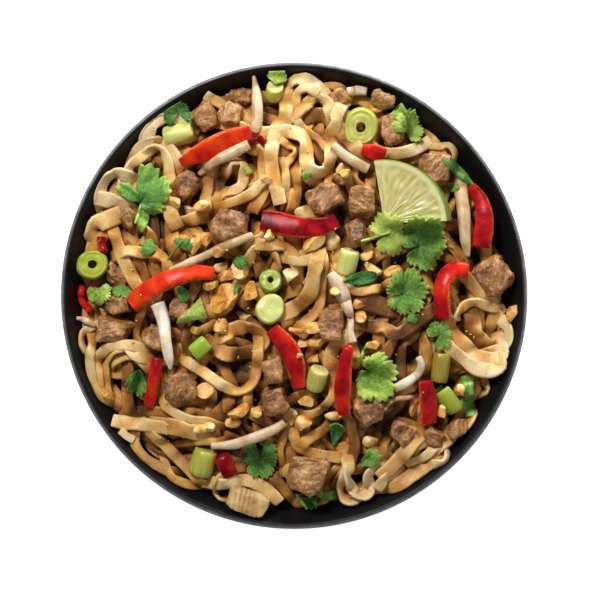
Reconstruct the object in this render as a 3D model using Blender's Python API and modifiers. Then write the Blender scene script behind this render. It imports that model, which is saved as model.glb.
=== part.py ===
"""Pad thai in its bowl, as solids: the bowl, the heap of noodles, and every topping as large as a berry.

Units are metres with +Z up, and MM turns the tables' millimetres into them. The origin is on the surface
that the bowl stands on, under its centre. +Y is the far side of the bowl and +X its right side.
A topping's height is given as how far it stands proud of the noodles' surface where it lies.
"""

import math
import random

import bmesh
import bpy
import numpy as np
from mathutils import Euler, Matrix, Vector, noise
from mathutils.bvhtree import BVHTree

MM = 0.001
GAP = 0.4  # between a topping and the noodles under it

# --- the bowl: a flat floor, then one arc up to a rounded lip
BOWL_RADIUS = 115.0
FLOOR_RADIUS = 50.0
FLOOR_HEIGHT = 6.5
WALL = 3.2
WALL_SWEEP = math.radians(66)  # how far round its arc the wall climbs
ARC_OUTER = (BOWL_RADIUS - FLOOR_RADIUS) / math.sin(WALL_SWEEP)
ARC_INNER = ARC_OUTER - WALL
ARC_CENTRE = FLOOR_HEIGHT + ARC_INNER
FOOT_OUTER, FOOT_INNER, FOOT_RECESS = 56.5, 52.0, 2.2
BOWL_STEPS = 52

# --- the heap of noodles
RIM_HEIGHT = ARC_CENTRE - (ARC_OUTER - WALL / 2) * math.cos(WALL_SWEEP) + WALL / 2
HEAP_MIDDLE = RIM_HEIGHT + 11.0
HEAP_EDGE = RIM_HEIGHT - 8.0
HEAP_EDGE_SWING = 1.8  # the edge lies this much higher or lower round the bowl
HEAP_FLATNESS = 2.6  # 2 is a paraboloid, and more is flatter in the middle
LUMPS = ((44.0, 2.2), (19.0, 1.6))  # spacing and height of the heap's unevenness
HEAP_CELLS = 34
HEAP_CLEARANCE = 1.0  # from the bowl's wall at the edge, and a little less below it
HEAP_UNDER_CLEARANCE = 0.7
SAMPLE = 1.0  # spacing of the points where the heap is pressed down under the toppings
PRESSES = 60  # rounds in which the heap gives way under them

# --- meat: x, y, size across, size along, turn in degrees, how far it stands proud
MEAT = (
    (-43.2, 88.5, 12, 16, 4, 6.0),
    (-31.0, 90.0, 11, 11, 20, 4.5),
    (-52.5, 54.5, 15, 15, 30, 5.0),
    (-31.0, 34.0, 18, 16, -8, 6.0),
    (14.5, 47.0, 18, 15, 12, 5.0),
    (33.0, 46.5, 12, 17, 0, 4.5),
    (48.5, 82.0, 11, 18, -8, 4.0),
    (44.0, 97.5, 13, 9, -12, 7.5),
    (22.5, 97.5, 11, 10, 35, 3.5),
    (69.5, 62.0, 15, 14, -20, 6.0),
    (30.5, 30.0, 10, 12, 10, 3.5),
    (98.5, 10.0, 20, 21, -22, 9.5),
    (-88.0, -16.5, 19, 13, 6, 6.0),
    (-87.0, -4.0, 13, 9, -8, 4.5),
    (-56.5, -6.5, 10, 11, 10, 3.0),
    (-67.5, -21.0, 14, 13, -6, 3.0),
    (-56.0, -45.0, 17, 19, 14, 6.5),
    (18.0, -13.0, 12, 18, -14, 5.0),
    (-9.5, -36.5, 12, 15, 8, 6.0),
    (-8.0, -52.0, 13, 13, 40, 5.0),
    (36.5, -56.0, 14, 17, -12, 6.0),
    (53.0, -67.0, 13, 12, 18, 5.0),
    (68.0, -69.6, 12, 9, -15, 4.5),
    (80.5, -66.0, 12, 8, 35, 7.0),
    (6.0, -88.5, 20, 19, -10, 9.0),
    (-81.5, 38.0, 9, 13, 6, 3.5),
    (24.0, 58.5, 9, 8, 25, 3.0),
)
MEAT_HEIGHT = 0.78  # of the mean of its two sizes
MEAT_SQUARENESS = 3.4  # 2 is an ellipsoid, and more is nearer a block
MEAT_UNEVEN = 0.16
TAPER = 0.12  # the most that a block narrows towards one end
CHUNK_CLEARANCE = 1.2  # from the bowl's wall

# --- red pepper strips: route as (x, y, proud), width, bank in degrees
PEPPER = (
    (((-56, 65.5, 5.0), (-47, 69.5, 6.5), (-34, 75, 7.0), (-22.5, 78.5, 6.0)), 10.0, 18),
    (((-16, 36.5, 5.0), (-7, 35, 5.5), (4, 33, 5.5), (13, 33.5, 5.0), (20.5, 36.5, 3.5)), 10.5, -12),
    (((33.5, 72, 3.5), (39, 70.5, 4.5), (44, 68.5, 3.5)), 7.5, 10),
    (((87.5, 54.5, 6.5), (92.3, 47, 7.0), (94.2, 38, 6.5), (92.3, 24, 5.0)), 8.6, 16),
    (((-80, -4.5, 4.0), (-73, 1, 6.0), (-62, 7.5, 6.5), (-50, 11, 6.0), (-39, 11, 5.0)), 9.0, -24),
    (((-11, -16, 5.0), (-4, -24, 6.0), (1, -34, 6.0), (2.5, -45, 5.0)), 7.2, 20),
    (((26.5, -25, 5.0), (24.5, -36, 6.0), (23.5, -48, 6.0), (24.5, -58, 4.5)), 7.5, 14),
    (((85.5, 12, 7.0), (78.5, 12.5, 6.5), (73.5, 7, 6.0), (72.5, -2, 5.5), (73.5, -11, 4.0)), 7.0, 30),
    (((64.5, -42, 4.5), (66, -52, 5.0), (66.3, -62.5, 4.0)), 8.0, -14),
    (((-67, -31, 3.5), (-68, -38, 4.5), (-69.5, -46, 4.5), (-71.5, -54, 3.5)), 6.0, 14),
    (((-35.5, -79.5, 3.5), (-33.5, -84, 4.0), (-31.5, -88, 3.5)), 8.0, 0),
)
PEPPER_THICKNESS = 4.4
PEPPER_ARCH = 0.9  # rise of the skin across the strip
STRIP_END = 0.64  # width of a strip at its ends, of that in its middle
STRIP_STEPS = 7

# --- scallions: x, y, proud, outer radius, inner radius, length, azimuth and elevation of the axis, arc
SCALLION = (
    (-56.6, 80.3, 6.0, 6.2, 1.6, 14.5, 13, 10, 360),
    (-9.7, 101.0, 4.5, 4.6, 1.4, 8.0, 80, 52, 360),
    (33.0, 83.5, 6.5, 8.9, 2.6, 8.0, 250, 80, 360),
    (-99.6, 15.0, 6.0, 7.6, 3.4, 7.0, 20, 78, 360),
    (-12.0, -6.5, 6.0, 7.2, 0.9, 8.0, 60, 84, 360),
    (-11.5, 7.2, 4.5, 5.3, 2.2, 5.5, 100, 76, 360),
    (26.0, 16.5, 4.5, 5.4, 1.2, 12.0, 76, 12, 360),
    (-46.0, -25.5, 5.5, 4.9, 2.2, 10.5, 45, 14, 360),
    (11.0, -40.5, 6.5, 5.2, 1.8, 11.0, 70, 28, 360),
    (72.3, -35.3, 5.0, 4.8, 1.4, 14.5, 84, 8, 360),
    (77.5, -51.5, 6.5, 6.4, 4.2, 12.5, 78, 12, 215),
    (-45.0, -82.0, 5.5, 6.3, 1.5, 13.0, 72, 12, 360),
)
SCALLION_STEPS = 12

# --- one broad cut of leek stem near the rim: x, y, size along, across, thick, turn, proud
STEM = (-23.0, -101.6, 20.0, 12.0, 6.5, -20, 8.0)
STEM_SQUARENESS, STEM_UNEVEN = 7.0, 0.1

# --- the largest bean sprouts: route as (x, y, proud), radius in the middle
SPROUT = (
    (((-67, -3.5, 4.5), (-64, -12, 5.5), (-62.5, -22, 8.5), (-61.2, -30, 7.5), (-60.3, -36, 5.5)), 2.7),
    (((-20, 108, 2.0), (-18.5, 99, 3.5), (-18, 89, 4.0), (-19, 81, 3.0)), 2.4),
    (((18.7, 73.6, 4.0), (24.3, 69, 5.0), (30.5, 65, 5.0), (35.5, 62.5, 3.0)), 2.4),
    (((82.5, 60, 4.0), (82.6, 50, 5.5), (83.6, 40, 6.0), (84, 30, 5.5), (85.2, 19, 4.0)), 2.7),
    (((-40, -74.0, 3.5), (-30, -73, 4.5), (-20, -69.8, 5.0), (-10, -65.5, 4.5), (-4.5, -62, 3.5)), 2.3),
)
SPROUT_END = 0.7

# --- the lime wedge: a sector of half a lime, its cut face up and leaning to the left
LIME_CENTRE = (44.0, 35.5)
LIME_RADIUS = 31.0
LIME_DEPTH = 24.0
LIME_FROM, LIME_TO = 2.0, 99.0  # degrees round the cut face, from +X
LIME_LEAN, LIME_LEAN_TOWARDS = 11.0, 205.0  # degrees, and the direction that its face looks towards
LIME_PROUD = 9.0  # of the middle of its cut face
LIME_STEPS = 8

COLOURS = {
    "bowl": ((0.012, 0.012, 0.014), 0.45),
    "noodle": ((0.62, 0.42, 0.23), 0.45),
    "meat": ((0.22, 0.115, 0.06), 0.6),
    "pepper": ((0.62, 0.03, 0.015), 0.3),
    "scallion": ((0.38, 0.5, 0.12), 0.4),
    "stem": ((0.62, 0.47, 0.25), 0.5),
    "sprout": ((0.8, 0.74, 0.62), 0.35),
    "lime": ((0.6, 0.62, 0.2), 0.35),
}


# --- scene, materials and placing


def clear_scene():
    for obj in list(bpy.data.objects):
        bpy.data.objects.remove(obj)


def collection(name):
    made = bpy.data.collections.new(name)
    bpy.context.scene.collection.children.link(made)
    return made


def material(kind, name):
    colour, roughness = COLOURS[kind]
    made = bpy.data.materials.new(name)
    made.use_nodes = True
    shader = made.node_tree.nodes["Principled BSDF"]
    shader.inputs["Base Color"].default_value = (*colour, 1)
    shader.inputs["Roughness"].default_value = roughness
    shader.inputs["Metallic"].default_value = 0
    return made


def add_object(name, data, kind, parts, root, location=(0, 0, 0), rotation=(0, 0, 0)):
    """An object at a location in millimetres, with its own material, under the root empty."""
    obj = bpy.data.objects.new(name, data)
    obj.location = Vector(location) * MM
    obj.rotation_euler = rotation
    obj.parent = root
    data.materials.append(material(kind, name))
    parts.objects.link(obj)
    return obj


def mesh_from(bm, name):
    """A mesh in metres from a bmesh drawn in millimetres."""
    bmesh.ops.recalc_face_normals(bm, faces=bm.faces)
    bmesh.ops.scale(bm, vec=(MM, MM, MM), verts=bm.verts)
    mesh = bpy.data.meshes.new(name)
    bm.to_mesh(mesh)
    bm.free()
    mesh.shade_smooth()
    mesh.set_sharp_from_angle(angle=math.radians(50))
    return mesh


# --- shared geometry


def arc_points(radius, start, end, count):
    """Points (radius from the bowl's axis, height) on one of the wall's arcs, which share a centre."""
    angles = np.linspace(start, end, count)
    return [(FLOOR_RADIUS + radius * math.sin(a), ARC_CENTRE - radius * math.cos(a)) for a in angles]


def wall_radius(height):
    """Radius of the bowl's inner wall at a height above its floor, or that of the lip above the rim."""
    drop = min(max(ARC_CENTRE - height, ARC_INNER * math.cos(WALL_SWEEP)), ARC_INNER)
    return FLOOR_RADIUS + math.sqrt(ARC_INNER**2 - drop**2)


def kept_in_bowl(point, clearance):
    """The point, moved towards the axis if it is closer than the clearance to the wall."""
    reach = math.hypot(point.x, point.y)
    room = wall_radius(point.z) - clearance
    if reach <= room:
        return point
    return Vector((point.x * room / reach, point.y * room / reach, point.z))


def surface_height(x, y):
    """Height of the noodles' uneven surface, before any topping presses into it."""
    reach = math.hypot(x, y) / wall_radius(HEAP_EDGE)
    around = Vector((x, y, 0)).normalized()
    edge = HEAP_EDGE + HEAP_EDGE_SWING * 2 * noise.noise(around * 1.6)
    height = edge + (HEAP_MIDDLE - edge) * (1 - min(reach, 1) ** HEAP_FLATNESS)
    for spacing, size in LUMPS:
        height += 2 * size * noise.noise(Vector((x / spacing, y / spacing, spacing)))
    return height


def smooth_route(points, count):
    """Evenly spread points on the Catmull-Rom curve through the route's own points."""
    ends = [points[0] * 2 - points[1], *points, points[-1] * 2 - points[-2]]
    curve = []
    for before, start, end, after in zip(ends, ends[1:], ends[2:], ends[3:]):
        for t in np.arange(0, 1, 0.05):
            bend = (end - before) * t + (before * 2 - start * 5 + end * 4 - after) * t**2
            curve.append(start + (bend + (start * 3 - before - end * 3 + after) * t**3) / 2)
    curve = np.array([*curve, points[-1]])
    along = np.concatenate([[0], np.cumsum(np.linalg.norm(np.diff(curve, axis=0), axis=1))])
    even = np.linspace(0, along[-1], count)
    return [Vector(p) for p in np.column_stack([np.interp(even, along, axis) for axis in curve.T])]


# --- the bowl


def build_bowl(parts, root):
    """A profile turned about the axis: up the inside, over the lip, down the outside and under the foot."""
    inside = arc_points(ARC_INNER, 0, WALL_SWEEP, 6)
    outside = arc_points(ARC_OUTER, WALL_SWEEP, math.radians(6), 5)
    middle = arc_points((ARC_INNER + ARC_OUTER) / 2, WALL_SWEEP, WALL_SWEEP, 1)[0]
    lip = [
        (middle[0] + WALL / 2 * math.cos(a), middle[1] + WALL / 2 * math.sin(a))
        for a in np.linspace(math.pi, 0, 5)[1:-1] - (math.pi / 2 - WALL_SWEEP)
    ]
    foot = [(FOOT_OUTER, 0), (FOOT_INNER, 0), (FOOT_INNER - 1, FOOT_RECESS), (0, FOOT_RECESS)]
    profile = [(0, FLOOR_HEIGHT), *inside, *lip, *outside, *foot]
    mesh = bpy.data.meshes.new("bowl")
    edges = [(i, i + 1) for i in range(len(profile) - 1)]
    mesh.from_pydata([(r * MM, 0, z * MM) for r, z in profile], edges, [])
    bowl = add_object("bowl", mesh, "bowl", parts, root)
    screw = bowl.modifiers.new("Turned", "SCREW")
    screw.steps = screw.render_steps = BOWL_STEPS
    screw.use_merge_vertices = True
    screw.merge_threshold = 0.0001


# --- toppings


def build_chunk(name, kind, place, sizes, turn, proud, squareness, uneven, parts, root):
    """A rounded block with an uneven surface, kept clear of the bowl's wall."""
    shape = random.Random(name)
    shift = Vector([shape.uniform(-50, 50) for _ in range(3)])
    taper = shape.uniform(-TAPER, TAPER)
    centre = Vector((*place, surface_height(*place) + proud - sizes[2] / 2))
    turned = Matrix.Rotation(math.radians(turn), 3, "Z")
    bm = bmesh.new()
    bmesh.ops.create_icosphere(bm, subdivisions=2, radius=1)
    for vert in bm.verts:
        p = vert.co / sum(abs(c) ** squareness for c in vert.co) ** (1 / squareness)
        p *= 1 + uneven * noise.noise(p * 1.4 + shift)
        p.x *= 1 + taper * p.y
        p = turned @ Vector([c * size / 2 for c, size in zip(p, sizes)])
        vert.co = kept_in_bowl(centre + p, CHUNK_CLEARANCE) - centre
    return add_object(name, mesh_from(bm, name), kind, parts, root, centre)


def build_meat(parts, root):
    for number, (x, y, across, along, turn, proud) in enumerate(MEAT, 1):
        sizes = (across, along, MEAT_HEIGHT * (across + along) / 2)
        name = f"meat_{number:02d}"
        build_chunk(name, "meat", (x, y), sizes, turn, proud, MEAT_SQUARENESS, MEAT_UNEVEN, parts, root)


def build_stem(parts, root):
    x, y, along, across, thick, turn, proud = STEM
    sizes = (along, across, thick)
    build_chunk("leek_stem", "stem", (x, y), sizes, turn, proud, STEM_SQUARENESS, STEM_UNEVEN, parts, root)


def strip_section(width, guides):
    """Cross-section of a pepper strip: a slab whose skin side is slightly arched."""
    low = -PEPPER_THICKNESS / 2
    high = PEPPER_THICKNESS / 2 - PEPPER_ARCH
    corners = [
        (-width / 2, high), (0, high + PEPPER_ARCH), (width / 2, high),
        (width / 2, low), (0, low + PEPPER_ARCH / 2), (-width / 2, low),
    ]
    curve = bpy.data.curves.new("section", "CURVE")
    spline = curve.splines.new("POLY")
    spline.points.add(len(corners) - 1)
    for point, (across, up) in zip(spline.points, corners):
        point.co = (across * MM, up * MM, 0, 1)
    spline.use_cyclic_u = True
    guide = bpy.data.objects.new("section", curve)
    guide.hide_render = True
    guide.display_type = "WIRE"
    guides.objects.link(guide)
    return guide


def route_curve(name, route, thickness, count):
    """A curve through a route of (x, y, proud), whose centre line lies half its thickness below its top."""
    points = [
        kept_in_bowl(Vector((x, y, surface_height(x, y) + proud - thickness / 2)), thickness)
        for x, y, proud in route
    ]
    centre = sum(points, Vector()) / len(points)
    curve = bpy.data.curves.new(name, "CURVE")
    curve.dimensions = "3D"
    curve.twist_mode = "Z_UP"
    curve.use_fill_caps = True
    spline = curve.splines.new("POLY")
    spline.points.add(count - 1)
    for point, place in zip(spline.points, smooth_route(points, count)):
        point.co = (*((place - centre) * MM), 1)
    return curve, centre


def tapered(index, end):
    """Scale of a strip at one of its steps: 1 in the middle and the given share at the ends."""
    return end + (1 - end) * math.sin(math.pi * index / (STRIP_STEPS - 1))


def build_pepper(parts, guides, root):
    for number, (route, width, bank) in enumerate(PEPPER, 1):
        name = f"pepper_{number:02d}"
        curve, centre = route_curve(name, route, PEPPER_THICKNESS, STRIP_STEPS)
        curve.bevel_mode = "OBJECT"
        curve.bevel_object = strip_section(width, guides)
        for index, point in enumerate(curve.splines[0].points):
            point.tilt = math.radians(bank)
            point.radius = tapered(index, STRIP_END)
        add_object(name, curve, "pepper", parts, root, centre)


def build_sprouts(parts, root):
    for number, (route, radius) in enumerate(SPROUT, 1):
        name = f"sprout_{number:02d}"
        curve, centre = route_curve(name, route, 2 * radius, STRIP_STEPS)
        curve.bevel_depth = radius * MM
        curve.bevel_resolution = 1
        for index, point in enumerate(curve.splines[0].points):
            point.radius = tapered(index, SPROUT_END)
        add_object(name, curve, "sprout", parts, root, centre)


def build_scallions(parts, root):
    """Cut lengths of scallion: a wall section spun about the stalk's axis."""
    for number, (x, y, proud, outer, inner, length, azimuth, elevation, arc) in enumerate(SCALLION, 1):
        name = f"scallion_{number:02d}"
        bm = bmesh.new()
        bmesh.ops.create_grid(bm, x_segments=1, y_segments=1, size=0.5)
        bmesh.ops.scale(bm, vec=(outer - inner, length, 1), verts=bm.verts)
        bmesh.ops.translate(bm, vec=((outer + inner) / 2, 0, 0), verts=bm.verts)
        bmesh.ops.rotate(bm, matrix=Matrix.Rotation(math.radians(90), 3, "X"), verts=bm.verts)
        bmesh.ops.spin(
            bm, geom=bm.faces[:], axis=(0, 0, 1), angle=math.radians(arc),
            steps=max(6, round(SCALLION_STEPS * arc / 360)), use_merge=arc == 360, use_duplicate=False,
        )
        if arc == 360:
            inside = [face for face in bm.faces if all(not edge.is_manifold for edge in face.edges)]
            bmesh.ops.delete(bm, geom=inside, context="FACES_ONLY")
        rotation = Euler((0, math.radians(90 - elevation), math.radians(azimuth)))
        lean = math.radians(elevation)
        half_height = length / 2 * math.sin(lean) + outer * math.cos(lean)
        centre = Vector((x, y, surface_height(x, y) + proud - half_height))
        add_object(name, mesh_from(bm, name), "scallion", parts, root, centre, rotation)


def build_lime(parts, root):
    """A quarter of a round, spun about the lime's core: a flat cut face on top and the rind below."""
    bm = bmesh.new()
    down = np.linspace(0, math.pi / 2, 6)
    rind = [(LIME_RADIUS * math.cos(a), -LIME_DEPTH * math.sin(a)) for a in down]
    profile = [bm.verts.new((r, 0, z)) for r, z in [(0, 0), *rind]]
    face = bm.faces.new(profile)
    bmesh.ops.spin(
        bm, geom=[face], axis=(0, 0, 1), angle=math.radians(LIME_TO - LIME_FROM),
        steps=LIME_STEPS, use_duplicate=False,
    )
    bmesh.ops.remove_doubles(bm, verts=bm.verts, dist=0.001)
    bmesh.ops.rotate(bm, matrix=Matrix.Rotation(math.radians(LIME_FROM), 3, "Z"), verts=bm.verts)
    towards = math.radians(LIME_LEAN_TOWARDS)
    axis = Vector((-math.sin(towards), math.cos(towards), 0))
    middle = math.radians((LIME_FROM + LIME_TO) / 2)
    centre = Vector((*LIME_CENTRE, 0))
    face_middle = centre + LIME_RADIUS / 2 * Vector((math.cos(middle), math.sin(middle), 0))
    centre.z = surface_height(face_middle.x, face_middle.y) + LIME_PROUD
    lean = Matrix.Rotation(math.radians(LIME_LEAN), 3, axis)
    centre.z -= (lean @ (face_middle - Vector((*LIME_CENTRE, 0)))).z
    add_object("lime_wedge", mesh_from(bm, "lime_wedge"), "lime", parts, root, centre, lean.to_euler())


# --- the heap


def undersides(toppings):
    """The lowest surface of the toppings over a square grid of samples, and infinity where there is none."""
    graph = bpy.context.evaluated_depsgraph_get()
    bm = bmesh.new()
    for obj in toppings:
        mesh = bpy.data.meshes.new_from_object(obj.evaluated_get(graph))
        mesh.transform(obj.matrix_world)
        bm.from_mesh(mesh)
        bpy.data.meshes.remove(mesh)
    tree = BVHTree.FromBMesh(bm)
    bm.free()
    places = np.arange(-BOWL_RADIUS, BOWL_RADIUS + SAMPLE, SAMPLE)
    lowest = np.full((len(places), len(places)), np.inf)
    for i, x in enumerate(places):
        for j, y in enumerate(places):
            hit = tree.ray_cast(Vector((x * MM, y * MM, 0)), Vector((0, 0, 1)))[0]
            if hit:
                lowest[i, j] = hit.z / MM
    spread = lowest.copy()
    for i, j in ((0, 1), (0, -1), (1, 0), (-1, 0), (1, 1), (1, -1), (-1, 1), (-1, -1)):
        spread = np.minimum(spread, np.roll(lowest, (i, j), (0, 1)))
    return places, spread


def press_down(bm, toppings):
    """Lowers the heap's vertices just enough for its faces to pass under every topping."""
    places, lowest = undersides(toppings)
    flat = [Vector((v.co.x, v.co.y, 0)) for v in bm.verts]
    corners = [[v.index for v in face.verts] for face in bm.faces]
    tree = BVHTree.FromPolygons(flat, corners)
    rows, shares, limits = [], [], []
    for i, j in np.argwhere(np.isfinite(lowest)):
        point, _, index, _ = tree.ray_cast(Vector((places[i], places[j], 1)), Vector((0, 0, -1)))
        if point is None:
            continue
        a, b, c = (flat[k] for k in corners[index])
        areas = [(q - point).cross(r - point).length for q, r in ((b, c), (c, a), (a, b))]
        rows.append(corners[index])
        shares.append(np.array(areas) / sum(areas))
        limits.append(lowest[i, j] - GAP)
    rows, shares, limits = np.array(rows), np.array(shares), np.array(limits)
    heights = np.array([v.co.z for v in bm.verts])
    for _ in range(PRESSES):
        over = np.maximum((heights[rows] * shares).sum(axis=1) - limits, 0)
        step = over[:, None] * shares / (shares**2).sum(axis=1)[:, None]
        lower = np.zeros(len(heights))
        np.maximum.at(lower, rows, step)
        heights -= lower
    for vert, height in zip(bm.verts, heights):
        vert.co.z = height


def build_heap(parts, root, toppings):
    """A square grid drawn out to a disc and raised to the noodles' surface, closed down the bowl's wall."""
    bm = bmesh.new()
    bmesh.ops.create_grid(bm, x_segments=HEAP_CELLS, y_segments=HEAP_CELLS, size=1)
    for vert in bm.verts:
        u, v = vert.co.x, vert.co.y
        out = Vector((u * math.sqrt(1 - v * v / 2), v * math.sqrt(1 - u * u / 2), 0))
        edge = surface_height(*(out.normalized() * wall_radius(HEAP_EDGE)).xy)
        vert.co = out * (wall_radius(edge) - HEAP_CLEARANCE)
        vert.co.z = surface_height(vert.co.x, vert.co.y)
    bmesh.ops.triangulate(bm, faces=bm.faces)
    bm.verts.index_update()
    press_down(bm, toppings)
    for vert in bm.verts:
        vert.co = kept_in_bowl(vert.co, HEAP_CLEARANCE)
    rim = [edge for edge in bm.edges if edge.is_boundary]
    for radius, height in reversed(arc_points(ARC_INNER - HEAP_UNDER_CLEARANCE, 0, WALL_SWEEP, 6)[:-2]):
        made = bmesh.ops.extrude_edge_only(bm, edges=rim)["geom"]
        rim = [item for item in made if isinstance(item, bmesh.types.BMEdge)]
        for vert in [item for item in made if isinstance(item, bmesh.types.BMVert)]:
            vert.co = Vector((vert.co.x, vert.co.y, 0)).normalized() * radius + Vector((0, 0, height))
    bmesh.ops.contextual_create(bm, geom=rim)
    add_object("noodle_heap", mesh_from(bm, "noodle_heap"), "noodle", parts, root)


def main():
    clear_scene()
    parts = collection("pad_thai")
    guides = collection("guides")
    root = bpy.data.objects.new("pad_thai", None)
    parts.objects.link(root)
    build_bowl(parts, root)
    build_meat(parts, root)
    build_stem(parts, root)
    build_pepper(parts, guides, root)
    build_sprouts(parts, root)
    build_scallions(parts, root)
    build_lime(parts, root)
    bpy.context.view_layer.update()
    toppings = [obj for obj in parts.objects if obj.type != "EMPTY" and obj.name != "bowl"]
    build_heap(parts, root, toppings)


main()
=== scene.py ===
"""Pad thai in its bowl: the finish of every piece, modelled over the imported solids.

Places and sizes in the tables are millimetres from the middle of the bowl, +X right and +Y away, and MM
turns them into metres. Heights come from the solids, or from the food that already lies at a place.
"""

import math
import random
from functools import partial

import bmesh
import bpy
import numpy as np
from bpy.props import FloatProperty, FloatVectorProperty, IntProperty, PointerProperty
from mathutils import Matrix, Vector, noise
from mathutils.bvhtree import BVHTree


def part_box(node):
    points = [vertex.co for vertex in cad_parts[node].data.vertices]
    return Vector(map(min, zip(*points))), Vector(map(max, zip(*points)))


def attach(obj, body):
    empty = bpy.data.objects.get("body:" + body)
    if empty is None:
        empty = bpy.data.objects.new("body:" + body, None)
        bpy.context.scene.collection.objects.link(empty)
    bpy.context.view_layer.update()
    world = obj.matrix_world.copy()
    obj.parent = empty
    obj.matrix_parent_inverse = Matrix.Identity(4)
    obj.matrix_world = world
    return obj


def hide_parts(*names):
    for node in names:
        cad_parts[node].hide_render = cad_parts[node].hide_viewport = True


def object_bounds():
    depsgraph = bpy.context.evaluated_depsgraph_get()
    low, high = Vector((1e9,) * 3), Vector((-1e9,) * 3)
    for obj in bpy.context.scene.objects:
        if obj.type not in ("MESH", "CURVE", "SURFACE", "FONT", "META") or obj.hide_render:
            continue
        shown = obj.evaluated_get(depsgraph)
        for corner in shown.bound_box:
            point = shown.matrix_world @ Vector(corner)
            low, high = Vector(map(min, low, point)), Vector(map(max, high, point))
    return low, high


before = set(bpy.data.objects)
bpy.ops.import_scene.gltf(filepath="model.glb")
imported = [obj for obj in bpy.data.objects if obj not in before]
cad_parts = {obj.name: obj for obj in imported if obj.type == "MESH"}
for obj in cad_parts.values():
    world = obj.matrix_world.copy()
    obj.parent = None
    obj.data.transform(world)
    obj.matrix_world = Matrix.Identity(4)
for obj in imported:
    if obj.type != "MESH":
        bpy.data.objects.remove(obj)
CAD_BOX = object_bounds()

bl_info = {
    "name": "Pad Thai Bowl",
    "version": (1, 0, 0),
    "blender": (4, 5, 0),
    "location": "3D View > Sidebar > Pad Thai",
    "description": "Builds the finished bowl of pad thai over its solids",
    "category": "Object",
}

MM = 0.001

# --- the bowl's sizes, which the solids have too
CAD_TOP = float(CAD_BOX[1][2]) / MM
BOWL_RADIUS = 115.0
FLOOR_RADIUS = 50.0
FLOOR_HEIGHT = 6.5
WALL = 3.2
WALL_SWEEP = math.radians(66)
ARC_OUTER = (BOWL_RADIUS - FLOOR_RADIUS) / math.sin(WALL_SWEEP)
ARC_INNER = ARC_OUTER - WALL
ARC_CENTRE = FLOOR_HEIGHT + ARC_INNER
FOOT_OUTER, FOOT_INNER, FOOT_RECESS = 56.5, 52.0, 2.2

# --- the surface of the heap, which the solids have too
RIM_HEIGHT = ARC_CENTRE - (ARC_OUTER - WALL / 2) * math.cos(WALL_SWEEP) + WALL / 2
HEAP_MIDDLE = RIM_HEIGHT + 11.0
HEAP_EDGE = RIM_HEIGHT - 8.0
HEAP_EDGE_SWING = 1.8
HEAP_FLATNESS = 2.6
LUMPS = ((44.0, 2.2), (19.0, 1.6))

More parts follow.
